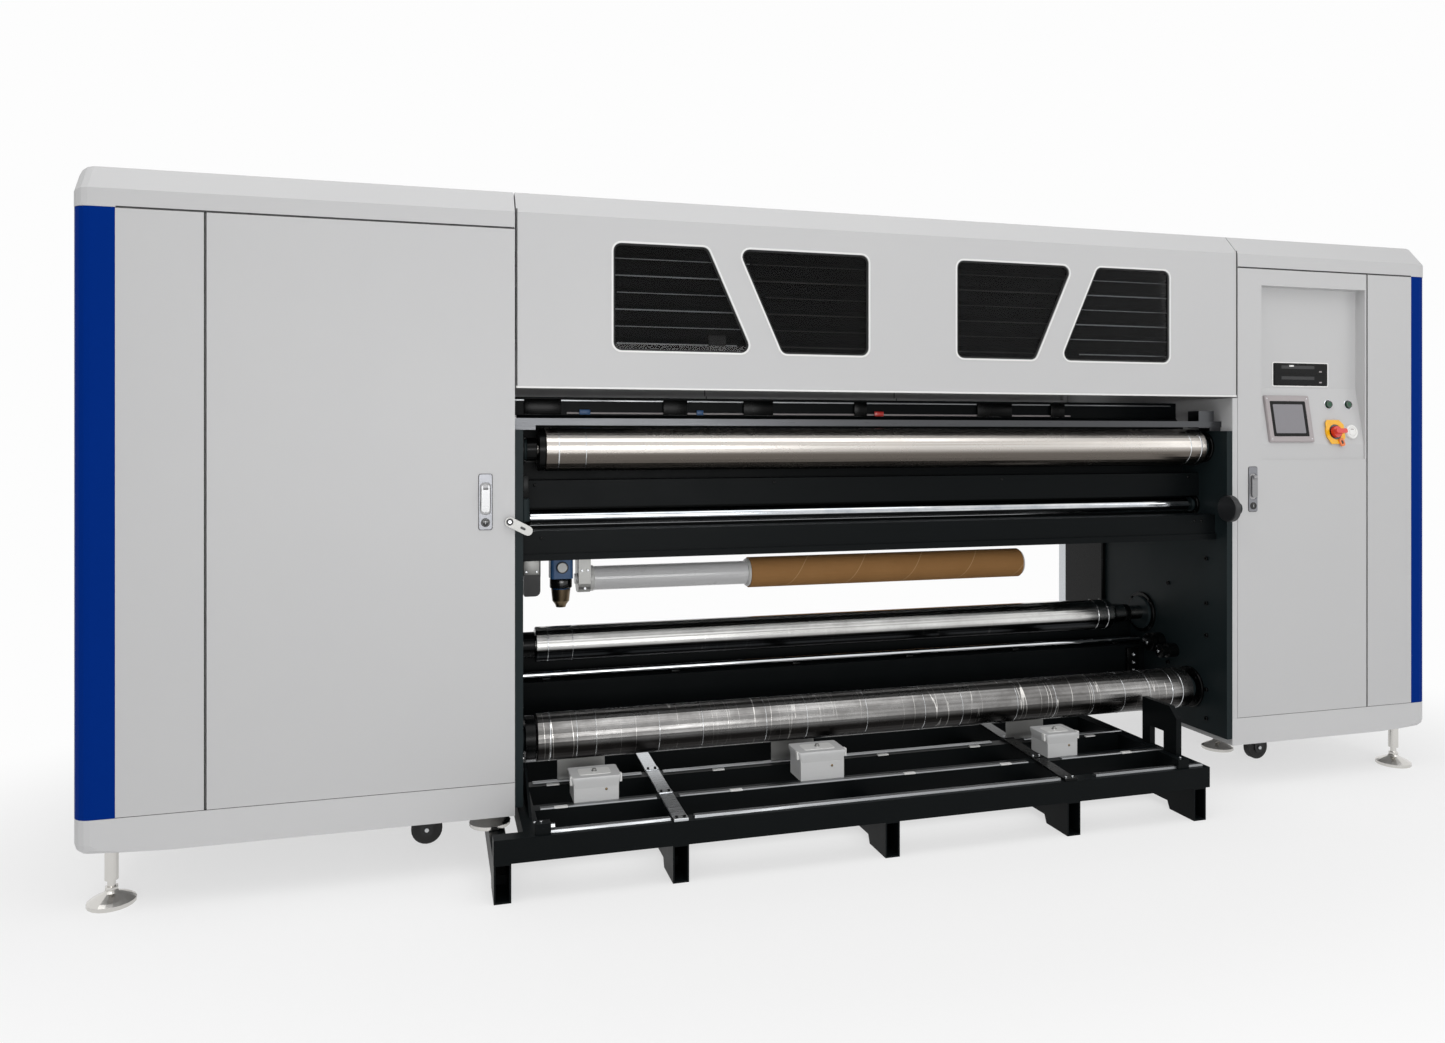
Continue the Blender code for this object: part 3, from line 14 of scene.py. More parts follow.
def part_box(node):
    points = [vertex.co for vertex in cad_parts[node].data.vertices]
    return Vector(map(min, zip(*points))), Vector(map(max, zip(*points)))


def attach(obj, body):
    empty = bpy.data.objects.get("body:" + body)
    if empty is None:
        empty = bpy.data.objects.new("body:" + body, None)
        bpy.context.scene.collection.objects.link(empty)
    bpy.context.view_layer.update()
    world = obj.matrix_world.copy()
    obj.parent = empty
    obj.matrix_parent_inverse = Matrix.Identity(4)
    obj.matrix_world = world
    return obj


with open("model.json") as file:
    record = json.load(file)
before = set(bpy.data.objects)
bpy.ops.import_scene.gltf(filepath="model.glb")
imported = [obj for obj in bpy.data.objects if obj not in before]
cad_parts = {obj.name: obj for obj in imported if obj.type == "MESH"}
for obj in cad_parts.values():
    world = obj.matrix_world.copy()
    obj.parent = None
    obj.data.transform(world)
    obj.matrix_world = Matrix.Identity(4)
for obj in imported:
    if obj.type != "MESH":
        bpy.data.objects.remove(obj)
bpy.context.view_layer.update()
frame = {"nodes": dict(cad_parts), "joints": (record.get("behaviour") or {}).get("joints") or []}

MM = 0.001
X, Y, Z = Vector((1, 0, 0)), Vector((0, 1, 0)), Vector((0, 0, 1))
SIDES = ("left", "right")


# ================================================================ shader tools
def linear(hex_colour):
    """An sRGB hex value as the linear colour that a socket takes."""
    parts = [int(hex_colour[i:i + 2], 16) / 255 for i in (1, 3, 5)]
    return (*(p / 12.92 if p <= 0.04045 else ((p + 0.055) / 1.055) ** 2.4 for p in parts), 1.0)


def add(tree, kind, inputs=None, **settings):
    """A node of that kind, with its settings, and its inputs set or linked."""
    made = tree.nodes.new("ShaderNode" + kind)
    for name, value in settings.items():
        setattr(made, name, value)
    for name, value in (inputs or {}).items():
        if isinstance(value, bpy.types.NodeSocket):
            tree.links.new(value, made.inputs[name])
        else:
            made.inputs[name].default_value = value
    return made


def blank(name, inputs):
    """A material with one Principled shader; also its tree, shader and object coordinates."""
    material = bpy.data.materials.new(name)
    material.use_nodes = True
    tree = material.node_tree
    tree.nodes.clear()
    shader = add(tree, "BsdfPrincipled", inputs)
    add(tree, "OutputMaterial", {"Surface": shader.outputs[0]})
    place = add(tree, "TexCoord").outputs["Object"]
    return material, tree, shader, place


def feed(tree, shader, colour=None, roughness=None, height=None, distance=0.0, strength=0.5):
    """Links a pattern's colour, roughness and height to the shader."""
    if colour is not None:
        tree.links.new(colour, shader.inputs["Base Color"])
    if roughness is not None:
        tree.links.new(roughness, shader.inputs["Roughness"])
    if height is not None:
        bump = add(tree, "Bump", {"Height": height, "Distance": distance, "Strength": strength})
        tree.links.new(bump.outputs[0], shader.inputs["Normal"])


def maths(tree, operation, *values):
    return add(tree, "Math", dict(enumerate(values)), operation=operation).outputs[0]


def mix(tree, share, *colours):
    """Two colours or hex values, mixed by a share."""
    one, two = (linear(c) if isinstance(c, str) else c for c in colours)
    return add(tree, "Mix", {0: share, 6: one, 7: two}, data_type="RGBA").outputs[2]


def noise(tree, vector, scale, detail, roughness=0.5, distortion=0.0):
    return add(tree, "TexNoise", {"Vector": vector, "Scale": scale, "Detail": detail, "Roughness": roughness,
                                  "Distortion": distortion}).outputs[0]


def stretched(tree, place, scale, detail, roughness=0.5):
    """Noise with a scale of its own along each axis."""
    vector = add(tree, "Mapping", {"Vector": place, "Scale": scale}).outputs[0]
    return noise(tree, vector, 1.0, detail, roughness)


def remap(tree, value, to_low, to_high, low=0.0, high=1.0, **settings):
    return add(tree, "MapRange", {"Value": value, "From Min": low, "From Max": high, "To Min": to_low,
                                  "To Max": to_high}, **settings).outputs[0]


def bright_rays(tree):
    """1 for the rays that should meet white paper: seen, seen through a pane, or mirrored."""
    path = add(tree, "LightPath").outputs
    seen = maths(tree, "MAXIMUM", path["Is Camera Ray"], path["Is Transmission Ray"])
    return maths(tree, "MAXIMUM", seen, path["Is Glossy Ray"])


# ================================================================ painted and moulded surfaces
def powder_coat(name, hex_colour, hex_drift, roughness, peel=5 * MM, shine=0.5, lines=None, below=None):
    """Sprayed and baked powder on steel: an even colour with a faint orange peel.
    Real peel is 1 to 2 mm across; it is drawn coarser so that it shows.
    lines is where sheet joints run (first x, pitch); below is what hangs under the sheet (level, colour)."""
    material, tree, shader, place = blank(name, {"Roughness": roughness, "Specular IOR Level": shine})
    cloud = noise(tree, place, 1.6, 3.0, 0.6)
    tone = mix(tree, cloud, hex_colour, hex_drift)
    part = add(tree, "SeparateXYZ", {0: place}).outputs
    if lines:
        start, pitch = lines
        along = maths(tree, "MULTIPLY_ADD", part[0], 1 / pitch, 0.5 - start / pitch)
        seam = maths(tree, "COMPARE", maths(tree, "FRACT", along), 0.5, 1.4 * MM / pitch)
        tone = mix(tree, seam, tone, "#2E2F30")
    if below:
        level, hex_low = below
        tone = mix(tree, maths(tree, "LESS_THAN", part[2], level), tone, hex_low)
    gloss = remap(tree, cloud, roughness - 0.04, roughness + 0.05)
    feed(tree, shader, tone, gloss, noise(tree, place, 1 / peel, 2.0), 0.1 * MM, 0.22)
    return material


def dusty_black(name, hex_colour, hex_dust, roughness, shine):
    """Black textured powder coat of the frame: fine grain, with dust lying on faces that look up."""
    material, tree, shader, place = blank(name, {"Specular IOR Level": shine})
    up = add(tree, "SeparateXYZ", {0: add(tree, "NewGeometry").outputs["Normal"]}).outputs[2]
    cloud = noise(tree, place, 9.0, 5.0, 0.65)
    dust = maths(tree, "MULTIPLY", cloud, remap(tree, up, 0.12, 0.75, 0.6, 1.0))
    gloss = remap(tree, cloud, roughness - 0.08, roughness + 0.12)
    grain = noise(tree, place, 1 / (3 * MM), 2.0)
    feed(tree, shader, mix(tree, dust, hex_colour, hex_dust), gloss, grain, 0.15 * MM, 0.35)
    return material


def moulded(name, hex_colour, roughness, grain=2.5 * MM, depth=0.06 * MM, coat=0.0):
    """Injection-moulded plastic: spark-eroded grain and a slight unevenness of gloss."""
    material, tree, shader, place = blank(name, {"Base Color": linear(hex_colour), "Coat Weight": coat,
                                                 "Coat Roughness": 0.08})
    gloss = remap(tree, noise(tree, place, 30.0, 3.0), roughness - 0.05, roughness + 0.07)
    feed(tree, shader, None, gloss, noise(tree, place, 1 / grain, 2.0), depth, 0.3)
    return material


def smoked_acrylic():
    """Cast acrylic sheet tinted nearly black: a hard gloss, with a hint of what is behind it."""
    material, tree, shader, place = blank("smoked_acrylic", {
        "Base Color": linear("#A6A8AA"), "IOR": 1.49, "Transmission Weight": 1.0,
        "Specular IOR Level": 0.2, "Specular Tint": linear("#6E6E6E")})
    smear = noise(tree, place, 3.5, 4.0, distortion=0.6)
    feed(tree, shader, None, remap(tree, smear, 0.0, 0.04))
    return material


def lens(name, hex_colour):
    """Clear tinted lens of a push button, over its lamp."""
    material, tree, shader, place = blank(name, {
        "Base Color": linear(hex_colour), "Roughness": 0.12, "IOR": 1.5, "Specular IOR Level": 0.3})
    ribs = add(tree, "TexWave", {"Vector": place, "Scale": 160.0}, bands_direction="X")
    feed(tree, shader, None, None, ribs.outputs["Fac"], 0.05 * MM, 0.25)
    return material


def cardboard(name, axis_y, axis_z, pitch=0.21):
    """Spiral-wound paper tube: kraft fibres, and a seam that climbs one pitch for each turn."""
    material, tree, shader, place = blank(name, {"Roughness": 0.82, "Specular IOR Level": 0.25})
    x, y, z = add(tree, "SeparateXYZ", {0: place}).outputs
    turn = maths(tree, "ARCTAN2", maths(tree, "SUBTRACT", z, axis_z), maths(tree, "SUBTRACT", y, axis_y))
    along = maths(tree, "MULTIPLY_ADD", x, 1 / pitch, maths(tree, "MULTIPLY", turn, 1 / math.tau))
    seam = maths(tree, "COMPARE", maths(tree, "FRACT", along), 0.5, 0.008)
    fibres = stretched(tree, place, (40.0, 260.0, 260.0), 4.0)
    kraft = mix(tree, noise(tree, place, 7.0, 4.0, 0.6), "#9C7040", "#C69762")
    worked = mix(tree, fibres, kraft, "#B58450")
    feed(tree, shader, mix(tree, seam, worked, "#CDA473"), None, fibres, 0.2 * MM, 0.35)
    return material


# ================================================================ metals
def turned_steel(name, hex_bright, hex_dull, hex_underside_shade, roughness, axis_z, radius, patch=0.4, marks=0.0):
    """Ground roller steel: cloudy patches where stock has run, painted reflection streaks along its axis, a
    painted shade darkening its underside, and pale rings that the web's edges have left part of the way
    round."""
    material, tree, shader, place = blank(name, {"Metallic": 1.0})
    cloud = stretched(tree, place, (5.0, 9.0, 9.0), 6.0, 0.68)
    tone = mix(tree, remap(tree, cloud, 0.0, patch, 0.38, 0.68), hex_bright, hex_dull)
    # Painted reflection: dark streaks along the axis stand in for the surroundings mirrored in the steel.
    reflection_streaks = stretched(tree, place, (0.5, 150.0, 150.0), 3.0)
    streaked = mix(tree, remap(tree, reflection_streaks, 0.0, 0.45, 0.42, 0.62), tone, hex_dull)
    # Painted shade: the roller darkens towards its underside, below its axis.
    z = add(tree, "SeparateXYZ", {0: place}).outputs[2]
    underside_shade = remap(tree, z, 1.0, 0.0, axis_z - 0.3 * radius, axis_z + 0.02 * radius,
                   interpolation_type="SMOOTHSTEP")
    arc = stretched(tree, place, (16.0, 0.7, 0.7), 2.0, 0.75)
    worn = remap(tree, cloud, 0.0, marks, 0.40, 0.62)
    clear = maths(tree, "MULTIPLY_ADD", underside_shade, -0.7, 1.0)
    mark = maths(tree, "MULTIPLY", maths(tree, "COMPARE", arc, 0.5, 0.004),
                 maths(tree, "MULTIPLY", worn, clear))
    marked = mix(tree, mark, mix(tree, underside_shade, streaked, hex_underside_shade), "#E4E2DE")
    feed(tree, shader, marked, remap(tree, cloud, roughness - 0.04, roughness + 0.08, 0.3, 0.7))
    return material


def plain_metal(name, hex_colour, roughness, grain=(8, 8, 8), drift=0.08):
    """Plated, cast or brushed small parts; the grain's three lengths give its direction."""
    material, tree, shader, place = blank(name, {"Base Color": linear(hex_colour), "Metallic": 1.0})
    streaks = stretched(tree, place, tuple(1 / (g * MM) for g in grain), 4.0)
    gloss = remap(tree, streaks, max(0.02, roughness - drift), roughness + drift)
    feed(tree, shader, None, gloss, streaks, 0.08 * MM, 0.25)
    return material


# Powder coats: even and half-matt, so that pale sheet reads as one soft grey.
ENAMEL = powder_coat("light_grey_powder_coat", "#C3C3C3", "#C0C0C1", 0.42, shine=0.4)
# The plinths carry black castor forks below their sheet.
FORK_TOP = 0.1365
PLINTH_ENAMEL = powder_coat("light_grey_plinth_coat", "#C9C9C9", "#C5C5C6", 0.42, shine=0.4,
                            below=(FORK_TOP, "#141516"))
# The rear cover is made of sheets side by side, with a dark joint between each two.
REAR_SHEET_WIDTH = 0.7248
REAR_ENAMEL = powder_coat("light_grey_rear_coat", "#C9C9C9", "#C5C5C6", 0.42, shine=0.4,
                          lines=(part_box("rear_cover")[0].x, REAR_SHEET_WIDTH))
# Deep blue that keeps its colour because it mirrors next to nothing.
BLUE = powder_coat("blue_powder_coat", "#00297A", "#002B80", 0.5, shine=0.02)
# Paint on cast blocks: coarser peel and a cloudier grey than on sheet.
CASTING = powder_coat("light_grey_cast_paint", "#D2D2D2", "#C2C3C3", 0.5, peel=3 * MM)
# Frame blacks: the beams, the glossier small parts, and the bluish side plates.
BLACK = dusty_black("black_powder_coat", "#0B0E0F", "#14181A", 0.36, 0.06)
BLACK_SATIN = dusty_black("black_satin_coat", "#050606", "#0C0E0F", 0.25, 0.12)
PLATE_BLACK = dusty_black("blue_black_powder_coat", "#1B2325", "#232B2D", 0.4, 0.1)
# Plating: chrome mirrors sharply, zinc on screws less so, galvanised sheet hardly at all.
CHROME = plain_metal("hard_chrome", "#D8DADD", 0.06, drift=0.03)
ZINC = plain_metal("bright_zinc_plate", "#C9CBCD", 0.24)
GALVANISED = plain_metal("galvanised_sheet", "#8D9093", 0.55)
FOOT_STEEL = plain_metal("nickel_plated_foot", "#D2D0CC", 0.2, grain=(30, 30, 4))
# Brushed, drawn and extruded metal: the long side of the grain is the way the tool ran.
RAIL_STEEL = plain_metal("worn_rail_steel", "#8C8E90", 0.3, grain=(120, 6, 6), drift=0.4)
LOCK_STEEL = plain_metal("satin_lock_plate", "#838488", 0.38, grain=(40, 40, 1.5))
BRUSHED = plain_metal("brushed_stainless", "#8F8F90", 0.3, grain=(60, 60, 1.5))
BAR_STEEL = plain_metal("drawn_steel_bar", "#4E4F51", 0.3, grain=(60, 2, 2))
EXTRUSION = plain_metal("anodised_extrusion", "#C4C7CA", 0.28, grain=(90, 2, 2))
# Cast and sintered metal: a fine even tooth that dulls the shine.
ALUMINIUM = plain_metal("cast_aluminium", "#9A9A98", 0.42, grain=(3, 3, 3))
BRONZE = plain_metal("sintered_bronze", "#7C6C55", 0.34, grain=(2, 2, 2))
# Dark plastics: plain ABS is half-matt, the gloss one has a clear skin, the lamp's case is grey, and its
# grey also paints the dimmer highlight on the slats' middle edges.
DARK_PLASTIC = moulded("black_abs", "#17181A", 0.42)
GLOSS_PLASTIC = moulded("black_gloss_abs", "#0B0C0D", 0.2, coat=0.3)
LAMP_CASE_AND_DIM_SLAT_HIGHLIGHT = moulded("dark_grey_abs", "#4E4A47", 0.45)
# Pale plastics: a smooth tube, small fittings, the windows' edge that also gives the painted highlight along
# the cover's lower edge, the painted highlight on slat edges, the panel's case.
WHITE_TUBE = moulded("white_pvc_tube", "#F2F2F3", 0.28, grain=12 * MM, coat=0.35)
WHITE_PLASTIC = moulded("white_polyamide", "#E8E8E6", 0.38)
EDGE_TRIM_AND_HIGHLIGHT = moulded("white_edge_trim_and_highlight", "#E4E4E3", 0.3)
SLAT_HIGHLIGHT = moulded("white_slat_edge", "#EDEDED", 0.5, grain=20 * MM)
GREY_PLASTIC = moulded("grey_abs", "#A39C9D", 0.4)
# Signal colours of the isolator, and the air unit's blue.
YELLOW_PLASTIC = moulded("yellow_polycarbonate", "#F2B400", 0.35, coat=0.2)
RED_PLASTIC = moulded("red_polycarbonate", "#D8281C", 0.3, coat=0.3)
ORANGE_PLASTIC = moulded("orange_polycarbonate", "#E8762B", 0.35, coat=0.2)
BLUE_PLASTIC = moulded("blue_polyamide", "#275A8E", 0.4)
# Ink shows through its bottle as one flat strong colour.
INK_BOTTLES = [moulded(name + "_ink_bottle", colour, 0.35)
               for name, colour in (("cyan", "#1E86B4"), ("magenta", "#A8316C"), ("yellow", "#CDB02C"),
                                    ("black", "#1B1B1D"))]
# Rubber drinks the light, and its black also gives the painted shade in the panel joints; screen glass is
# flat grey and glossy.
RUBBER_AND_GAP_SHADE = moulded("black_rubber_and_gap_shade", "#141414", 0.72, grain=3 * MM, depth=0.15 * MM)
SCREEN_GLASS = moulded("screen_glass", "#77757A", 0.2, grain=40 * MM)
ACRYLIC = smoked_acrylic()
LENS = lens("green_lens", "#02482A")


def roller_steel(name, *finish, **settings):
    low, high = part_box(name)
    return turned_steel(name + "_steel", *finish, (low.z + high.z) / 2, (high.z - low.z) / 2, **settings)


# The idler is new and bright, the top roller warm, the lower two worn; each one's third colour is painted
# shade on its underside.
ROLLER_STEEL = {
    "idler_roller": roller_steel("idler_roller", "#E6E7E8", "#76828E", "#9DA0A3", 0.09, patch=0.55),
    "top_roller": roller_steel("top_roller", "#CFCBC6", "#A8A098", "#67615B", 0.24, patch=0.2),
    "mid_roller": roller_steel("mid_roller", "#DCDCDA", "#7E7C7A", "#26282A", 0.15, patch=0.4, marks=0.3),
    "lower_roller": roller_steel("lower_roller", "#9B9A99", "#4F4D4B", "#282625", 0.26, patch=0.8, marks=1),
}


# ================================================================ places and outlines
def seat(origin, right, up):
    """A place to build on: outlines lie in right and up, and thickness rises along right x up."""
    right, up = Vector(right).normalized(), Vector(up).normalized()
    made = Matrix((right, up, right.cross(up))).transposed().to_4x4()
    made.translation = origin
    return made


def facing_front(x, y, z):
    return seat((x, y, z), X, Z)


def facing_rear(x, y, z):
    return seat((x, y, z), -X, Z)


def facing_up(x, y, z):
    return seat((x, y, z), X, Y)


def facing_right(x, y, z):
    """Rises along +X, as on the inner face of the left side plate."""
    return seat((x, y, z), Y, Z)


def facing_left(x, y, z):
    return seat((x, y, z), -Y, Z)


def moved(place, x, y, z):
    """The place shifted along its own axes."""
    return place @ Matrix.Translation(Vector((x, y, z)) * MM)


def grid(place, across, half_width, up, half_height, lift):
    """Places in rows and columns, given as shares of half a width and half a height."""
    return [moved(place, u * half_width, v * half_height, lift) for u in across for v in up]


def joint(name):
    return next(j for j in frame["joints"] if j["name"] == name)


def middle(node):
    low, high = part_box(node)
    return (low + high) / 2


def rounded_rectangle(width, height, radius, centre=(0, 0), steps=5):
    outline = []
    for k, (sx, sy) in enumerate(((1, 1), (-1, 1), (-1, -1), (1, -1))):
        cx, cy = centre[0] + sx * (width / 2 - radius), centre[1] + sy * (height / 2 - radius)
        for i in range(steps + 1):
            angle = math.pi / 2 * (k + i / steps)
            outline.append((cx + radius * math.cos(angle), cy + radius * math.sin(angle)))
    return outline


def circle(radius, count=24):
    angles = [math.tau * k / count + math.pi / 4 for k in range(count)]
    return [(radius * math.cos(a), radius * math.sin(a)) for a in angles]


def shrunk(outline, by):
    """The outline moved inwards, for a chamfered edge."""
    count = len(outline)
    middle_u, middle_v = (sum(p[i] for p in outline) / count for i in (0, 1))
    scale_u = 1 - by / max(abs(u - middle_u) for u, v in outline)
    scale_v = 1 - by / max(abs(v - middle_v) for u, v in outline)
    return [(middle_u + (u - middle_u) * scale_u, middle_v + (v - middle_v) * scale_v) for u, v in outline]


# ================================================================ mesh tools
def piece(name, data, material, body="frame"):
    """A finished bmesh as an object that rides on a body."""
    bmesh.ops.remove_doubles(data, verts=data.verts, dist=1e-6)
    bmesh.ops.recalc_face_normals(data, faces=data.faces)
    mesh = bpy.data.meshes.new(name)
    data.to_mesh(mesh)
    data.free()
    mesh.materials.append(material)
    mesh.shade_smooth()
    mesh.set_sharp_from_angle(angle=math.radians(30))
    obj = bpy.data.objects.new(name, mesh)
    bpy.context.scene.collection.objects.link(obj)
    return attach(obj, body)


def loop(data, place, outline, height):
    return [data.verts.new(place @ (Vector((u, v, height)) * MM)) for u, v in outline]


def skin_loops(data, loops, closed=False):
    """Faces between each loop and the next; the ends are capped unless the loops close on themselves."""
    pairs = list(zip(loops, loops[1:]))
    if closed:
        pairs.append((loops[-1], loops[0]))
    for one, two in pairs:
        count = len(one)
        for k in range(count):
            data.faces.new((one[k], one[(k + 1) % count], two[(k + 1) % count], two[k]))
    if not closed:
        data.faces.new(loops[0])
        data.faces.new(loops[-1])


def add_slab(data, place, outline, thickness, lift=0, edge=0.6):
    """A flat piece with a chamfered upper edge."""
    edge = min(edge, thickness / 2)
    skin_loops(data, [loop(data, place, outline, lift), loop(data, place, outline, lift + thickness - edge),
                      loop(data, place, shrunk(outline, edge), lift + thickness)])


def slab(name, place, outline, thickness, material, body="frame", lift=0, edge=0.6):
    data = bmesh.new()
    add_slab(data, place, outline, thickness, lift, edge)
    return piece(name, data, material, body)


def add_surround(data, place, outer, inner, thickness, lift=0, edge=0.5):
    """A flat piece with one opening; both outlines have the same number of points."""
    top = lift + thickness
    rounds = [(outer, lift), (outer, top - edge), (shrunk(outer, edge), top), (shrunk(inner, -edge), top),
              (inner, top - edge), (inner, lift)]
    skin_loops(data, [loop(data, place, outline, height) for outline, height in rounds], closed=True)


def surround(name, place, outer, inner, thickness, material, body="frame", lift=0, edge=0.5):
    data = bmesh.new()
    add_surround(data, place, outer, inner, thickness, lift, edge)
    return piece(name, data, material, body)


def add_turned(data, place, profile, sides=28, ring=False):
    """A turned shape about the seat's rising axis; profile is (height, radius) pairs."""
    skin_loops(data, [loop(data, place, circle(radius, sides), height) for height, radius in profile],
               closed=ring)


def turned(name, place, profile, material, body="frame", sides=28, ring=False):
    data = bmesh.new()
    add_turned(data, place, profile, sides, ring)
    return piece(name, data, material, body)


def block(name, low, high, material, body="frame", edge=1.2):
    """A six-sided piece between two corners, with every edge broken."""
    data = bmesh.new()
    bmesh.ops.create_cube(data, size=1.0)
    low, high = Vector(low), Vector(high)
    for vert in data.verts:
        vert.co = Vector((low[i] + (vert.co[i] + 0.5) * (high[i] - low[i]) for i in range(3)))
    bmesh.ops.bevel(data, geom=data.edges[:], offset=min(edge * MM, min(high - low) / 3), segments=2,
                    profile=0.5, affect="EDGES")
    return piece(name, data, material, body)


def socket_screws(name, places, radius, material, body="frame", height=None):
    """Cap screws in one mesh, each with a hexagon socket."""
    data = bmesh.new()
    height = height or radius * 0.9
    for place in places:
        add_turned(data, place, [(0, radius), (height * 0.8, radius), (height, radius * 0.86),
                                 (height, radius * 0.55), (height * 0.35, radius * 0.5)], sides=12)
    return piece(name, data, material, body)


def flat_screws(name, places, radius, material, body="frame"):
    """Pan heads with a cross recess too small to model: a shallow dome."""
    data = bmesh.new()
    for place in places:
        add_turned(data, place, [(0, radius), (radius * 0.25, radius * 0.95), (radius * 0.45, radius * 0.6),
                                 (radius * 0.5, radius * 0.2)], sides=12)
    return piece(name, data, material, body)


def sweep_x(name, edge_line, section, start, stop, material, body="frame"):
    """A section run along X; its points are millimetres from a line at (y, z)."""
    data = bmesh.new()
    place = seat((start, *edge_line), Y, Z)
    skin_loops(data, [loop(data, place, section, 0), loop(data, place, section, (stop - start) / MM)])
    return piece(name, data, material, body)


# ================================================================ finishes of the CAD pieces
def dress(material, *nodes):
    for name in nodes:
        mesh = frame["nodes"][name].data
        mesh.materials.clear()
        mesh.materials.append(material)


def dress_frame():
    """Gives every CAD node its finish."""
    for side in SIDES:
        dress(ENAMEL, side + "_cabinet", side + "_top_cap", side + "_side_panel", side + "_door")
        dress(PLINTH_ENAMEL, side + "_plinth")
        dress(BLUE, side + "_corner_trim")
        dress(BRUSHED, side + "_latch_handle")
        dress(ACRYLIC, side + "_window")
        dress(PLATE_BLACK, side + "_side_plate")
        dress(RUBBER_AND_GAP_SHADE, side + "_front_wheel", side + "_rear_wheel")
        dress(FOOT_STEEL, side + "_front_foot", side + "_rear_foot", side + "_inner_foot")
    dress(ENAMEL, "top_cover")
    dress(REAR_ENAMEL, "rear_cover")
    dress(BLACK, "upper_beam", "web_tray", "base_beam", "base_frame", "take_up_beam", "platen",
          "carriage_beam")
    dress(BLACK_SATIN, "right_strap")
    for name, material in ROLLER_STEEL.items():
        dress(material, name)
    dress(BAR_STEEL, "guide_bar")
    dress(EXTRUSION, "left_strap")
    dress(ALUMINIUM, "door_hasp", "take_up_bracket")
    dress(CASTING, *("saddle_block_%d" % k for k in (1, 2, 3)))
    dress(DARK_PLASTIC, "print_carriage", "handwheel", "take_up_motor")
    dress(GREY_PLASTIC, "touch_panel")
    dress(WHITE_TUBE, "take_up_shaft")
    core = middle("cardboard_core")
    dress(cardboard("kraft_paper_tube", core.y, core.z), "cardboard_core")
    dress(BLUE_PLASTIC, "filter_regulator")
    dress(LENS, "start_button", "stop_button")
    dress(YELLOW_PLASTIC, "switch_plate")
    dress(RED_PLASTIC, "switch_knob")


# ================================================================ doors and console
BUTTON_PROUD, BUTTON_TAIL = 7, 8      # what each button shows before and hides behind the console's slope


def add_lock(side):
    """Lock plate with the handle lying in its slot and a key barrel below."""
    low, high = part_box(side + "_latch_handle")
    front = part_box(side + "_door")[0].y
    body = side + "_door"
    x, z = (low.x + high.x) / 2, high.z - 0.043       # the plate's middle
    place, barrel = facing_front(x, front, z), facing_front(x, front, z - 0.051)
    slot_bottom, slot_top = (low.z - z) / MM - 6, (high.z - z) / MM + 5
    slot = rounded_rectangle(25.2, slot_top - slot_bottom, 10, (0, (slot_top + slot_bottom) / 2))
    thick = 2.6                       # of the plate
    surround(side + "_lock_gasket", place, rounded_rectangle(34.4, 139.4, 6), shrunk(slot, -1), 0.6,
             RUBBER_AND_GAP_SHADE, body, edge=0.1)
    surround(side + "_lock_plate", place, rounded_rectangle(32, 137, 5), slot, thick, LOCK_STEEL, body,
             lift=0.1)
    turned(side + "_lock_ring", barrel,
           [(thick, 11.2), (thick + 1.8, 10.8), (thick + 1.8, 8.2), (thick, 8)], GLOSS_PLASTIC, body,
           ring=True)
    turned(side + "_lock_barrel", barrel, [(thick, 7.9), (thick + 1, 7.9), (thick + 1.2, 7.4)],
           GLOSS_PLASTIC, body)
    slab(side + "_key_slot", barrel, rounded_rectangle(1.2, 7.5, 0.5), 0.3, CHROME, body,
         lift=thick + 1.2, edge=0.1)


def add_console():
    """Screen glass and bezel, button collars, switch plate, drive bay and socket cap."""
    low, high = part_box("touch_panel")
    width, height = (high.x - low.x) / MM, 148
    inward = Vector(joint("start_button_travel")["axis"])
    rise = (Z - inward * Z.dot(inward)).normalized()
    face = seat(middle("touch_panel") - inward * (3 * MM), X, rise)
    glass = rounded_rectangle(width - 34, height - 36, 3)
    inner = rounded_rectangle(width - 56, height - 56, 2)
    surround("screen_bezel", face, rounded_rectangle(width - 4, height - 4, 4), glass, 1.6,
             GREY_PLASTIC, "right_door", lift=0.1)
    surround("screen_border", face, shrunk(glass, 0.2), inner, 1, BLACK_SATIN, "right_door", lift=0.1,
             edge=0.2)
    slab("screen_glass", face, shrunk(inner, 0.1), 0.7, SCREEN_GLASS, "right_door", lift=0.1, edge=0.1)
    flat_screws("bezel_screws", grid(face, (-1, 1), width / 2 - 9, (-1, 1), height / 2 - 10, 1.7), 2.2,
                ZINC, "right_door")
    for name in ("start_button", "stop_button"):
        spot = middle(name) + inward * ((BUTTON_PROUD - BUTTON_TAIL) / 2 * MM)
        turned(name + "_collar", seat(spot, X, rise),
               [(0.1, 15.8), (1.6, 15.5), (2.6, 14.6), (2.6, 14.2), (0.1, 14.1)], CHROME, "right_door",
               ring=True)
        turned(name + "_washer", seat(spot, X, rise),
               [(0.1, 14), (2.8, 13.9), (3.2, 13), (3.2, 12.1), (0.1, 12)], GLOSS_PLASTIC, "right_door",
               ring=True)
        turned(name + "_rim", seat(spot - inward * (BUTTON_PROUD * MM), X, rise),
               [(0.1, 11.4), (0.8, 11.1), (0.8, 8.2), (0.1, 8)], GLOSS_PLASTIC, name, ring=True)
    add_switch(inward, rise)
    add_drive_bay(low)
    add_key_cap(inward, rise)


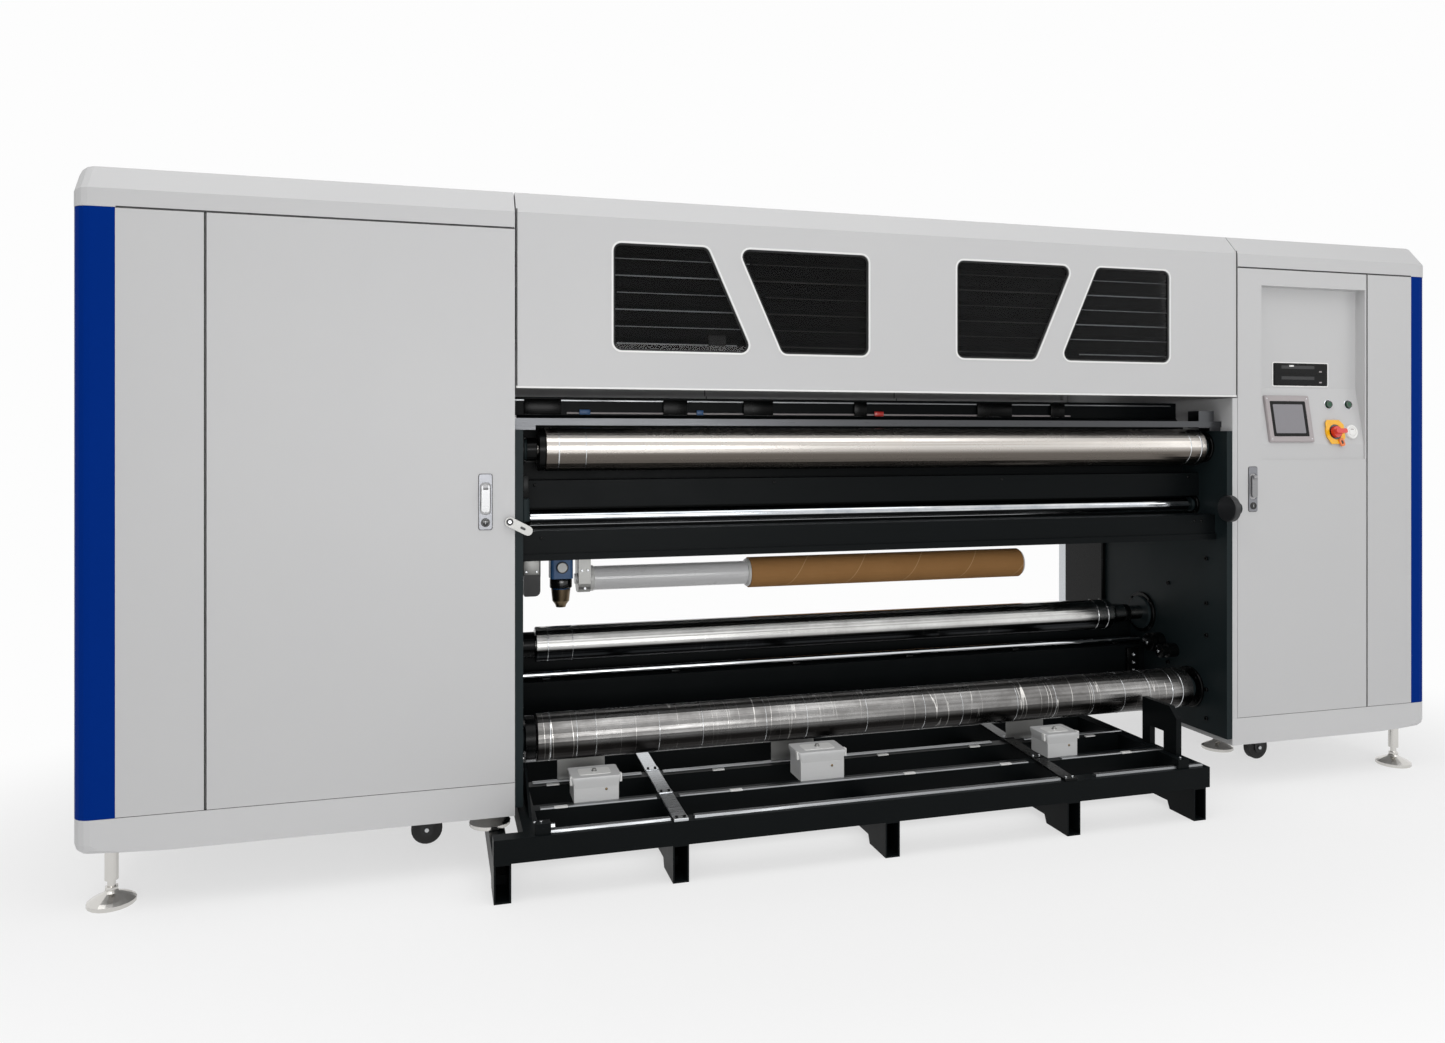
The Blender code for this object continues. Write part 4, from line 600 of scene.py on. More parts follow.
def add_switch(inward, rise):
    """Squared yellow face, black ring and pointer on the isolator, and the padlock tab below it."""
    face = seat(middle("switch_plate") - inward * (2.5 * MM), X, rise)
    cut, wide, tall = 24, 35.5, 38.5
    corners = [(-wide, -cut * 0.7), (-wide * 0.62, -tall), (wide * 0.5, -tall), (wide, -cut * 0.8),
               (wide, cut), (wide * 0.55, tall), (-wide * 0.8, tall), (-wide, cut * 1.2)]
    surround("switch_face", face, spread(corners), circle(24.5, 32), 1.2, YELLOW_PLASTIC, "right_door",
             lift=0.05, edge=0.3)
    surround("switch_ring", face, circle(24.3, 32), circle(12, 32), 0.12, GLOSS_PLASTIC, "right_door",
             lift=0.05, edge=0.02)
    knob_face = seat(middle("switch_knob") - inward * (13.2 * MM), X, rise)
    slab("knob_pointer", knob_face, rounded_rectangle(10, 2.2, 0.9, (13.5, 0)), 0.4, WHITE_PLASTIC,
         "switch_knob", edge=0.1)
    lever = moved(face, 16.5, -33, 0) @ Matrix.Rotation(math.radians(-72), 4, "Z")
    slab("padlock_lever", lever, rounded_rectangle(26, 18, 5), 4, ORANGE_PLASTIC, "right_door", lift=1.3)
    slab("padlock_slot", lever, rounded_rectangle(12, 7, 3), 0.4, DARK_PLASTIC, "right_door", lift=5.3,
         edge=0.1)


def spread(corners):
    """Four points along each side of a closed outline, started where circle() starts."""
    points = []
    for k, (x, y) in enumerate(corners):
        next_x, next_y = corners[(k + 1) % len(corners)]
        points += [(x + (next_x - x) * t / 4, y + (next_y - y) * t / 4) for t in range(4)]
    start = max(range(len(points)), key=lambda n: points[n][0] - abs(points[n][1]))
    return points[start:] + points[:start]


def add_drive_bay(screen_low):
    """Disc drives behind a light-rimmed opening, above the screen on the console's back wall."""
    width, height = 219, 78
    place = facing_front(screen_low.x + 0.040 + width / 2 * MM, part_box("right_door")[0].y + 0.035,
                         1.238 + height / 2 * MM)
    hole = rounded_rectangle(width - 7, height - 7, 4)
    surround("drive_rim", place, rounded_rectangle(width, height, 7), hole, 2.2, WHITE_PLASTIC,
             "right_door", lift=0.1)
    slab("drive_well", place, shrunk(hole, 0.2), 0.5, BLACK_SATIN, "right_door", lift=0.1, edge=0.1)
    for k, v in enumerate((17, -17)):
        slab("drive_front_%d" % k, place, rounded_rectangle(width - 20, 29, 2, (0, v)), 0.9, BLACK_SATIN,
             "right_door", lift=0.7, edge=0.3)
        slab("drive_tray_%d" % k, place, rounded_rectangle(128, 10, 1, (-10, v + 6)), 0.4, DARK_PLASTIC,
             "right_door", lift=1.6, edge=0.1)
        slab("drive_button_%d" % k, place, rounded_rectangle(10, 4, 1, (78, v - 7)), 0.6, GREY_PLASTIC,
             "right_door", lift=1.6, edge=0.1)
    slab("drive_lamp", place, rounded_rectangle(18, 5, 1, (-35, 27)), 0.5, WHITE_PLASTIC, "right_door",
         lift=1.6, edge=0.1)


def add_key_cap(inward, rise):
    """Round white socket cap beside the switch, with its spring lid raised in the middle."""
    spot = middle("switch_plate") + X * 0.066 + rise * 0.001
    face = seat(spot + inward * (2.2 * MM), X, rise)
    turned("socket_cap", face, [(0, 22.5), (5, 22.5), (7, 20.5), (7, 16.5), (4.5, 15)], WHITE_PLASTIC,
           "right_door")
    slab("socket_lid", face, rounded_rectangle(22, 22, 6), 2.2, WHITE_PLASTIC, "right_door", lift=4.6)
    slab("socket_hinge", face, rounded_rectangle(12, 3, 1, (0, 7.5)), 0.5, GREY_PLASTIC, "right_door",
         lift=6.8, edge=0.1)


def add_hasp_details():
    """Pivot screw, worn ring and locking slot on the tab that holds the left door."""
    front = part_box("door_hasp")[0].y - 0.0003
    x, y, z = joint("hasp_pivot")["pos_m"]
    reach = (middle("door_hasp") - Vector((x, y, z))) * 1.45
    screw = facing_front(x, front, z)
    turned("hasp_washer", screw, [(0, 8.8), (0.8, 8.6), (0.8, 5), (0, 4.8)], DARK_PLASTIC, "hasp", 24, True)
    socket_screws("hasp_pivot_screw", [screw], 4.5, ZINC, "hasp", height=2.2)
    slot = facing_front(x + reach.x, front, z + reach.z)
    slab("hasp_slot", slot @ Matrix.Rotation(math.atan2(reach.z, reach.x), 4, "Z"),
         rounded_rectangle(14, 6, 2.8), 0.3, DARK_PLASTIC, "hasp", edge=0.1)


# ================================================================ rollers
PLATE = 0.020                         # thickness of the side plates, whose inner faces follow
PLATE_FACES = (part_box("left_side_plate")[0].x + PLATE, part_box("right_side_plate")[1].x - PLATE)
# Radius, shaft radius, and what the roller's body leaves free beside the left and right plate.
ROLLERS = {"top_roller": (56.5, 19, 64, 35), "mid_roller": (50, 23, 68, 149),
           "lower_roller": (62, 22, 48, 57)}
# Where marks of old web edges lie, as shares of the roller's length.
WEAR_BANDS = (0.075, 0.16, 0.22, 0.31, 0.37, 0.46, 0.55, 0.61, 0.70, 0.765, 0.83, 0.885, 0.93)


def roller_axis(name):
    return joint(name + "_spin")["pos_m"][1:]


def add_roller_ends():
    """Hubs, collars and grooves at the ends of the rollers; each turns with its roller."""
    for name, (radius, shaft, inset_left, inset_right) in ROLLERS.items():
        axis = roller_axis(name)
        bore = shaft + 0.3
        start, stop = PLATE_FACES[0] + inset_left * MM, PLATE_FACES[1] - inset_right * MM
        hub = facing_right(stop + 0.0022, *axis)
        if name == "top_roller":
            turned("top_roller_disc", facing_right(start - 0.0195, *axis),
                   [(0, radius - 3), (2, radius - 0.5), (16.5, radius - 0.5), (16.5, bore), (0, bore)],
                   BLACK_SATIN, name, 40, True)
            collar(name, facing_right(stop + 0.0025, *axis), 12, 34, bore)
        if name == "mid_roller":
            turned("mid_roller_cone", hub, [(0, radius - 4), (4, radius - 4), (22, 33), (60, 31),
                                            (60, bore), (0, bore)], ROLLER_STEEL[name], name, 40, True)
            collar(name, facing_right(stop + 0.066, *axis), 20, 29, bore)
        if name == "lower_roller":
            turned("lower_roller_hub", hub, [(0, radius - 3), (20, radius - 3), (26, radius - 10),
                                             (26, bore), (0, bore)], ROLLER_STEEL[name], name, 40, True)
            for k, share in enumerate(WEAR_BANDS):
                band(name, "wear_%d" % k, facing_right(start + share * (stop - start), *axis), 1.6, radius)
        for k, (x, width) in enumerate(((stop - 0.058, 3), (stop - 0.020, 4.5), (start + 0.030, 3),
                                        (start + 0.100, 2))):
            band(name, k, facing_right(x, *axis), width, radius)


def collar(name, place, width, radius, bore):
    turned(name + "_right_collar", place,
           [(0, radius - 1.5), (1.5, radius), (width - 1.5, radius), (width, radius - 1.5), (width, bore),
            (0, bore)], BLACK_SATIN, name, 32, True)


def band(name, number, place, width, radius):
    """A polished ring standing a hair proud of the roller."""
    turned("%s_band_%s" % (name, number), place,
           [(0, radius + 0.1), (width * 0.3, radius + 0.5), (width * 0.7, radius + 0.5),
            (width, radius + 0.1), (width, radius - 1), (0, radius - 1)], ZINC, name, 48, True)


def add_housings():
    """Black bearing housings that fill the gap between the left plate's bosses and each roller."""
    boss_end = PLATE_FACES[0] + 0.0163
    for name, radius, length in (("top_roller", 30, 26.5), ("mid_roller", 36, 48.5),
                                 ("lower_roller", 58, 27.5)):
        bore = ROLLERS[name][1] + 2
        turned(name + "_housing", facing_right(boss_end, *roller_axis(name)),
               [(0, radius), (length - 2, radius), (length, radius - 2), (length, bore), (0, bore)],
               BLACK_SATIN, sides=36, ring=True)


def add_bearing_rings():
    """Flanged bearing covers with four screws, round each boss on both side plates."""
    for name, bore, outer in (("top_roller", 33.4, 48), ("idler_roller", 23.4, 34),
                              ("mid_roller", 55.4, 68), ("lower_roller", 36.4, 64)):
        axis = roller_axis(name)
        for side, place in (("left", facing_right(PLATE_FACES[0], *axis)),
                            ("right", facing_left(PLATE_FACES[1], *axis))):
            turned("%s_%s_cover" % (name, side), place,
                   [(0.2, outer), (6, outer), (8, outer - 2), (8, bore), (0.2, bore)], BLACK_SATIN,
                   sides=36, ring=True)
            reach = (outer + bore) / 2
            spots = [moved(place, reach * math.cos(a), reach * math.sin(a), 8)
                     for a in (math.pi / 4 + k * math.pi / 2 for k in range(4))]
            socket_screws("%s_%s_screws" % (name, side), spots, min(4.5, (outer - bore) * 0.35),
                          BLACK_SATIN)


# ================================================================ bay between the cabinets
def add_side_plate_details():
    """Bright rear edge, a black band of painted shade standing in for a recess, knuckles and screws on the
    inner faces of the side plates.
    """
    low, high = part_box("right_side_plate")
    inner = PLATE_FACES[1]
    tall, z = (high.z - low.z) / MM, (low.z + high.z) / 2
    slab("rear_edge_strip", facing_left(inner, high.y - 0.028, z), rounded_rectangle(52, tall - 4, 2), 1.5,
         EXTRUSION, lift=0.1)
    # Painted shade: a black band stands in for the shade in a recess of the plate.
    slab("recess_shade_band", facing_left(inner, high.y - 0.172, z - 0.02),
         rounded_rectangle(226, tall - 120, 8), 14, BLACK_SATIN, lift=0.1, edge=4)
    places = [facing_left(inner, low.y + 0.135, z) for z in (0.20, 0.29, 0.46, 0.56, 0.70, 1.02)]
    places += [facing_left(inner, low.y + 0.31, z) for z in (0.20, 0.34, 0.60, 0.78)]
    socket_screws("side_plate_screws", places, 6.5, BLACK_SATIN)
    for name, y, z, radius, length in (("rear_knuckle", -0.06, 0.400, 30, 50),
                                       ("front_knuckle", -0.13, 0.385, 22, 62)):
        place = facing_left(inner, y, z)
        turned(name, place, [(0.2, radius), (length * 0.55, radius), (length * 0.6, radius * 0.72),
                             (length * 0.75, radius * 0.72), (length * 0.8, radius * 0.95),
                             (length - 3, radius * 0.95), (length, radius * 0.7)], BLACK_SATIN, sides=32)
        socket_screws(name + "_screw", [moved(place, 0, 0, length)], 5, ZINC)
    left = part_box("left_side_plate")[0]
    places = [facing_right(PLATE_FACES[0], left.y + 0.03, z) for z in (0.24, 0.40, 0.56, 0.72, 1.06)]
    flat_screws("left_plate_screws", places, 6, ZINC)
    block("left_plate_pad", (left.x + 0.0203, left.y + 0.0005, 0.930),
          (left.x + 0.034, left.y + 0.030, 0.984), BLACK_SATIN)


def add_beam_details():
    """Rod above the base beam, the bracket before it, and screws in the tray and the upper beam."""
    low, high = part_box("base_beam")
    y, radius = low.y + 0.024, 10
    length = (high.x - low.x) / MM - 8
    turned("base_rod", facing_right(low.x + 0.004, y, high.z + 0.006 + radius * MM),
           [(0, radius - 1), (1, radius), (length - 1, radius), (length, radius - 1)], CHROME, sides=24)
    for k in range(6):
        x = low.x + 0.10 + k * (high.x - low.x - 0.2) / 5
        block("base_rod_foot_%d" % k, (x - 0.012, y - 0.009, high.z + 0.0003),
              (x + 0.012, y + 0.009, high.z + 0.0075), BLACK_SATIN)
    block("beam_bracket", (high.x - 0.075, low.y - 0.012, low.z + 0.010),
          (high.x - 0.030, low.y - 0.0003, high.z - 0.008), BLACK_SATIN)
    socket_screws("beam_bracket_screws", [facing_front(high.x - 0.0525, low.y - 0.012, low.z + z)
                                          for z in (0.024, 0.050, 0.076)], 5.5, ZINC)
    low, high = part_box("web_tray")
    flat_screws("tray_screws", [facing_front(x, low.y + 0.006, high.z - 0.018)
                                for x in (low.x + 0.05, high.x - 0.05, high.x - 0.075)], 5, BLACK_SATIN)
    low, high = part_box("upper_beam")
    flat_screws("upper_beam_screws", [facing_front(x, low.y, high.z - 0.012)
                                      for x in (low.x + 0.04, low.x + 0.7, high.x - 0.7, high.x - 0.04)],
                5, BLACK_SATIN)


def add_web_plates():
    """Black sheets that close the gaps behind the upper rollers and under the mid roller."""
    left, right = (corner.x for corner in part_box("upper_beam"))
    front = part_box("upper_beam")[1].y
    low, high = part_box("web_tray")[1].z - 0.03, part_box("platen")[0].z
    tall = (high - low) / MM
    sweep_x("web_plate", (front, low), [(12, 0), (14, 0), (14, tall - 28.5), (48, tall - 0.5),
                                        (45, tall - 0.5), (12, tall - 28)], left, right, BLACK)
    for k, share in enumerate((0.30, 0.62)):
        sweep_x("web_plate_rib_%d" % k, (front, low + (high - low) * share),
                [(11.7, 0), (11.7, 4), (6, 6), (6, -2)], left, right, BLACK_SATIN)
    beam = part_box("base_beam")[1]
    sweep_x("mid_angle", (beam.y - 0.004, beam.z), [(-3, 0.3), (0, 0.3), (0, 80), (-3, 80)], left, right,
            BLACK)


def add_print_bay():
    """Bright edge and clips of the platen, its feet, and the guides behind the carriage beam."""
    low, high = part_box("platen")
    sweep_x("platen_edge", (low.y, high.z), [(-6, -11), (-0.3, -11), (-0.3, -7), (-6, -8)], low.x + 0.004,
            high.x - 0.024, RAIL_STEEL)
    sweep_x("ink_rail", (low.y, low.z), [(-4, 4), (-0.3, 4), (-0.3, 9), (-4, 8)], low.x + 0.16,
            high.x - 0.40, GREY_PLASTIC)
    length = high.x - low.x
    for k, (share, width, material) in enumerate((
            (0.02, 0.10, BLACK_SATIN), (0.09, 0.03, BLUE_PLASTIC), (0.20, 0.07, BLACK_SATIN),
            (0.245, 0.02, BLUE_PLASTIC), (0.31, 0.09, BLACK_SATIN), (0.47, 0.04, BLACK_SATIN),
            (0.50, 0.03, RED_PLASTIC), (0.66, 0.12, BLACK_SATIN), (0.78, 0.05, BLACK_SATIN))):
        x = low.x + length * share
        top = high.z - 0.006 if material == BLACK_SATIN else low.z + 0.016
        block("rail_block_%d" % k, (x, low.y - 0.0105, low.z + 0.002), (x + width, low.y - 0.0065, top),
              material)
    for k in range(9):
        x = low.x + length * (k + 0.5) / 9
        block("platen_bracket_%d" % k, (x - 0.03, low.y + 0.004, low.z - 0.016),
              (x + 0.03, low.y + 0.05, low.z - 0.0003), BLACK_SATIN)
        socket_screws("platen_bracket_screws_%d" % k,
                      [facing_front(x + dx, low.y + 0.004, low.z - 0.008) for dx in (-0.02, 0.02)], 4, ZINC)
    low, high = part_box("carriage_beam")
    for k, z in enumerate((low.z + 0.03, high.z - 0.03)):
        block("carriage_guide_%d" % k, (low.x + 0.002, high.y + 0.0003, z - 0.010),
              (high.x - 0.002, high.y + 0.0008, z + 0.010), BRUSHED, edge=0.1)


# ================================================================ cover, seams and outer panels
def window_corners():
    """Corners of the four slanted windows in millimetres, from the panes' boxes."""
    lap, slant, half_bar = 25, 61.8, 41.5
    centre = middle("top_cover").x / MM
    low, high = (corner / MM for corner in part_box("left_window"))
    near, far = centre - high.x + lap, centre - low.x - lap
    bar = (near + far) / 2
    bottom, top = low.z + lap, high.z - lap
    outer = [(far, bottom), (far, top), (bar + half_bar + slant, top), (bar + half_bar - slant, bottom)]
    inner = [(near, bottom), (bar - half_bar - slant, bottom), (bar - half_bar + slant, top), (near, top)]
    return [[(centre + sign * x, z) for x, z in corners] for sign in (-1, 1) for corners in (outer, inner)]


def rounded(corners, radius, grown=0, steps=5):
    """The outline with each corner turned into an arc, then moved outwards."""
    outline = []
    for i, corner in enumerate(corners):
        here = Vector(corner)
        back = (Vector(corners[i - 1]) - here).normalized()
        ahead = (Vector(corners[(i + 1) % len(corners)]) - here).normalized()
        half = back.angle(ahead) / 2
        reach = radius / math.tan(half)
        hub = here + (back + ahead).normalized() * (radius / math.sin(half))
        first = (here + back * reach - hub).normalized()
        last = (here + ahead * reach - hub).normalized()
        outline += [tuple(hub + first.slerp(last, k / steps) * (radius + grown)) for k in range(steps + 1)]
    return outline


def add_cover_inside():
    """Pale rims and rubber gaskets round the windows; slats and a black shield behind them; a painted
    highlight along the cover's lower edge and painted shade in the joints beside the cover.
    """
    cover, pane = (facing_front(0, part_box(name)[0].y, 0) for name in ("top_cover", "left_window"))
    rims, gaskets = bmesh.new(), bmesh.new()
    for corners in window_corners():
        edge, rim, skirt, lip = (rounded(corners, 21, grown) for grown in (0, 5, -0.3, -5))
        add_surround(rims, cover, rim, edge, 0.8, 0.1, 0.3)
        add_surround(gaskets, pane, skirt, lip, 3.5, 0.2)
    piece("window_rims", rims, EDGE_TRIM_AND_HIGHLIGHT, "cover")
    piece("window_gaskets", gaskets, RUBBER_AND_GAP_SHADE, "cover")
    for side in SIDES:
        add_slats(side)
    low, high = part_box("left_window")
    block("lamp_box", (low.x + 0.285, high.y + 0.012, low.z + 0.034),
          (low.x + 0.330, high.y + 0.026, low.z + 0.072), LAMP_CASE_AND_DIM_SLAT_HIGHLIGHT, "cover")
    low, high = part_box("top_cover")
    # Painted highlight: a pale strip along the cover's lower edge stands in for light catching that edge.
    block("cover_edge_highlight", (low.x + 0.003, low.y - 0.0008, low.z + 0.0004),
          (high.x - 0.003, low.y - 0.0001, low.z + 0.005), EDGE_TRIM_AND_HIGHLIGHT, "cover", edge=0.2)
    # Painted shade: dark strips in the joints beside the cover stand in for the shade inside the gaps.
    joint_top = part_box("left_top_cap")[0].z + 0.05
    for side, x in (("left", low.x + 0.0003), ("right", high.x - 0.0033)):
        block("cover_%s_joint" % side, (x, low.y - 0.0004, low.z + 0.006),
              (x + 0.003, low.y - 0.0001, joint_top), RUBBER_AND_GAP_SHADE, "cover", edge=0.1)


def add_slats(side):
    """Six slats before a black shield; their edges carry a painted highlight, pale towards the cabinet and
    dim towards the middle.
    """
    low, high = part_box(side + "_window")
    rear, stop = high.y, high.x + 0.055
    block(side + "_shield", (low.x, rear + 0.060, low.z), (stop, rear + 0.062, high.z - 0.010), BLACK,
          "cover", edge=0.4)
    middle_x = (low.x + stop) / 2
    halves = [(low.x, middle_x), (middle_x, stop)]
    # Painted highlight: pale strips on the slat edges of the cabinet's half stand in for light catching
    # them; dark grey ones on the middle half are a dimmer painted highlight.
    spans = dict(zip(("bright", "dim"), halves if side == "left" else reversed(halves)))
    edges = {name: bmesh.new() for name in spans}
    for k in range(6):
        z = low.z + 0.046 + k * 0.044
        sweep_x("%s_slat_%d" % (side, k), (rear, z), [(30, 0), (30, 2), (58, 18), (58, 16)], low.x + 0.004,
                stop - 0.004, BLACK, "cover")
        share, height = 0.98 if k % 3 else 0.8, 2.2 if k % 2 else 3.4
        for name, (start, end) in spans.items():
            add_slab(edges[name], facing_front((start + end) / 2, rear + 0.0298, z + 0.001),
                     rounded_rectangle((end - start) / MM * share, height, 0.8), 1.4, edge=0.2)
    piece(side + "_bright_edges", edges["bright"], SLAT_HIGHLIGHT, "cover")
    piece(side + "_dim_edges", edges["dim"], LAMP_CASE_AND_DIM_SLAT_HIGHLIGHT, "cover")


def add_seams():
    """Dark strips in the joints round the doors, at the hinges and under the top caps: painted shade
    standing in for the shade inside each gap.
    """
    for side in SIDES:
        door_low, door_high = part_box(side + "_door")
        low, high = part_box(side + "_side_panel")
        start, stop = min(low.x, door_low.x) + 0.001, max(high.x, door_high.x) - 0.001
        for name, z in (("top", high.z + 0.0002), ("bottom", low.z - 0.0013)):
            block("%s_%s_joint_shade" % (side, name), (start, low.y + 0.0012, z),
                  (stop, high.y - 0.0006, z + 0.0011), RUBBER_AND_GAP_SHADE, edge=0.2)
        x = high.x - 0.0026 if side == "left" else low.x
        block(side + "_hinge_joint", (x, low.y - 0.0004, low.z), (x + 0.0026, low.y - 0.0001, high.z),
              RUBBER_AND_GAP_SHADE, edge=0.1)
        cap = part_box(side + "_top_cap")[0]
        block(side + "_cap_joint", (start, cap.y - 0.0004, cap.z + 0.0001),
              (stop, cap.y - 0.0001, cap.z + 0.0027), RUBBER_AND_GAP_SHADE, edge=0.1)


def add_outer_panels():
    """Screwed end and rear panels with louvres, quarter-turn catches and a cable gland plate."""
    for side in SIDES:
        low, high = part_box(side + "_cabinet")
        trim_rear, rear_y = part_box(side + "_corner_trim")[1].y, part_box(side + "_plinth")[1].y
        x, y, z = (low.x + high.x) / 2, (trim_rear + rear_y) / 2 - 0.014, (low.z + high.z) / 2
        height, depth = (high.z - low.z) / MM - 10, (rear_y - trim_rear) / MM - 60
        end, inboard = (facing_left(low.x, y, z), 1) if side == "left" else (facing_right(high.x, y, z), -1)
        slab(side + "_end_panel", end, rounded_rectangle(depth, height, 4), 1.6, ENAMEL, lift=0.2)
        flat_screws(side + "_end_screws",
                    grid(end, (-1, 1), depth / 2 - 20, (-1, -0.33, 0.33, 1), height / 2 - 20, 1.3), 4, ZINC)
        add_louvres(side + "_end", moved(end, 0, height * -0.30, 1.9), 360, 7)
        width = (high.x - low.x) / MM - 75
        rear = facing_rear(x + 0.012 * inboard, high.y, z)
        slab(side + "_rear_panel", rear, rounded_rectangle(width, height - 20, 4), 1.4, ENAMEL, lift=0.2)
        flat_screws(side + "_rear_screws",
                    grid(rear, (-1, 0, 1), width / 2 - 18, (-1, -0.33, 0.33, 1), height / 2 - 28, 1.2), 4,
                    ZINC)
        for k, v in enumerate((-0.30, 0.36)):
            add_louvres("%s_rear_%d" % (side, k), moved(rear, 0, height * v, 1.7), 340, 6)
        for k, v in enumerate((-0.12, 0.18)):
            turned("%s_catch_%d" % (side, k), moved(rear, width * 0.44 * inboard, height * v, 1.6),
                   [(0, 14), (0.8, 14), (1.2, 12.5), (1.2, 6), (0.6, 5.5)], GLOSS_PLASTIC)
        add_gland_plate(side, moved(rear, 120 * inboard, height * -0.41, 1.6))


def add_louvres(name, place, width, count):
    """Pressed cooling slots: a dark slit under each raised lip."""
    lips, slits = bmesh.new(), bmesh.new()
    for k in range(count):
        v = (k - (count - 1) / 2) * 24
        add_slab(lips, place, rounded_rectangle(width, 10, 4, (0, v + 4)), 0.8, edge=0.4)
        add_slab(slits, place, rounded_rectangle(width - 10, 4.5, 2, (0, v - 4)), 0.1, edge=0.05)
    piece(name + "_lips", lips, ENAMEL)
    piece(name + "_slits", slits, RUBBER_AND_GAP_SHADE)


def add_gland_plate(side, place):
    """Screwed plate with three cable glands, low on the rear panel."""
    slab(side + "_gland_plate", place, rounded_rectangle(220, 90, 5), 0.8, BRUSHED, edge=0.3)
    rings = bmesh.new()
    for k in (-1, 0, 1):
        add_turned(rings, moved(place, k * 62, 0, 0), [(0, 15.5), (1.1, 15.5), (1.1, 8.5), (0, 8.4)], 20,
                   True)
    piece(side + "_gland_rings", rings, GLOSS_PLASTIC)
    flat_screws(side + "_gland_screws", grid(place, (-1, 1), 101, (-1, 1), 37, 0.6), 1.8, ZINC)


def add_cabinet_insides():
    """Plated mounting sheets on the rear walls: ink supply on the left, switchgear on the right."""
    for side, fill in (("left", add_ink_supply), ("right", add_switchgear)):
        low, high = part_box(side + "_cabinet")
        place = facing_front((low.x + high.x) / 2, high.y - 0.0362, 0.92)
        width = (high.x - low.x) / MM - 180
        slab(side + "_mounting_sheet", place, rounded_rectangle(width, 1160, 6), 3, GALVANISED, lift=0.2)
        socket_screws(side + "_sheet_screws", grid(place, (-1, 1), width / 2 - 20, (-1, 0, 1), 550, 3.2), 5,
                      BLACK_SATIN)
        for k, v in enumerate((-460, -100, 260, 520)):
            slab("%s_duct_%d" % (side, k), moved(place, 0, v, 3.3), rounded_rectangle(width - 60, 45, 3), 48,
                 GREY_PLASTIC)
            slab("%s_duct_lid_%d" % (side, k), moved(place, 0, v, 51.4),
                 rounded_rectangle(width - 58, 49, 3), 2, CASTING, edge=0.4)
        fill(place, width)


def add_ink_supply(place, width):
    """A shelf of ink bottles with a pump above each."""
    slab("ink_shelf", moved(place, 0, -375, 3.3), rounded_rectangle(width - 100, 6, 2), 150, ZINC, edge=0.5)
    count = 6
    pumps, caps = bmesh.new(), bmesh.new()
    for k in range(count):
        u = (k - (count - 1) / 2) * (width - 200) / (count - 1)
        stand = moved(place, u, -371.5, 85) @ Matrix.Rotation(math.radians(-90), 4, "X")
        turned("ink_bottle_%d" % k, stand, [(0, 40), (3, 43), (150, 43), (175, 30), (185, 17), (198, 17)],
               INK_BOTTLES[k % len(INK_BOTTLES)])
        add_turned(caps, stand, [(198.5, 21), (222, 21), (224, 19)], 20)
        add_slab(pumps, moved(place, u, 80, 3.3), rounded_rectangle(58, 85, 6), 55, edge=1)
        add_turned(pumps, moved(place, u, 65, 58.4), [(0, 22), (12, 22), (14, 19)], 24)
    piece("ink_caps", caps, BLACK_SATIN)
    piece("ink_pumps", pumps, DARK_PLASTIC)


def add_switchgear(place, width):
    """Rows of breakers and a power supply on mounting rails."""
    rails, cases, toggles, supplies = (bmesh.new() for _ in range(4))
    start = -(width - 140) / 2
    for row, v in enumerate((-280, 80, 390)):
        add_slab(rails, moved(place, 0, v, 3.3), rounded_rectangle(width - 80, 35, 1), 7.5, edge=0.5)
        for k in range(10):
            spot = moved(place, start + k * 27, v, 11)
            add_slab(cases, spot, rounded_rectangle(25.5, 84, 2), 58, edge=1)
            add_slab(toggles, moved(spot, 0, 4, 58.2), rounded_rectangle(10, 20, 2), 9, edge=1)
        add_slab(supplies, moved(place, start + 335 + 20 * row, v, 11), rounded_rectangle(110, 115, 3), 85,
                 edge=1)
    piece("mounting_rails", rails, ZINC)
    piece("breaker_cases", cases, WHITE_PLASTIC)
    piece("breaker_toggles", toggles, BLACK_SATIN)
    piece("power_supplies", supplies, ALUMINIUM)


# ================================================================ take-up
def add_take_up_details():
    """Bracket screws, the tube's collar, core stops, the motor's flange and the air unit's fittings."""
    low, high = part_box("take_up_bracket")
    y, z = joint("take_up_spin")["pos_m"][1:]
    x = (low.x + high.x) / 2
    spots = ((-0.009, 0.030), (0.009, 0.030), (0, -0.026))
    socket_screws("bracket_screws", [facing_front(x + dx, low.y, z + dz) for dx, dz in spots], 4.5, ZINC)
    turned("take_up_collar", facing_right(high.x + 0.0015, y, z),
           [(0, 40.5), (10, 40.5), (12, 38.5), (12, 38.3), (0, 38.3)], WHITE_PLASTIC, "take_up", 36, True)
    low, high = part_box("cardboard_core")
    for name, place in (("inner", facing_left(low.x - 0.0003, y, z)),
                        ("outer", facing_right(high.x + 0.0003, y, z))):
        turned("core_stop_" + name, place, [(0, 46), (6, 45.5), (8, 44), (8, 38.3), (0, 38.3)],
               WHITE_PLASTIC, "take_up", 36, True)
    low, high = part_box("take_up_motor")
    block("motor_flange", (low.x + 0.004, low.y - 0.0045, high.z - 0.058),
          (high.x - 0.004, low.y - 0.0003, high.z - 0.002), ALUMINIUM)
    socket_screws("motor_screws", [facing_front(low.x + dx, low.y - 0.0045, high.z - dz)
                                   for dx in (0.012, 0.044) for dz in (0.011, 0.048)], 3.5, ZINC)
    add_regulator()


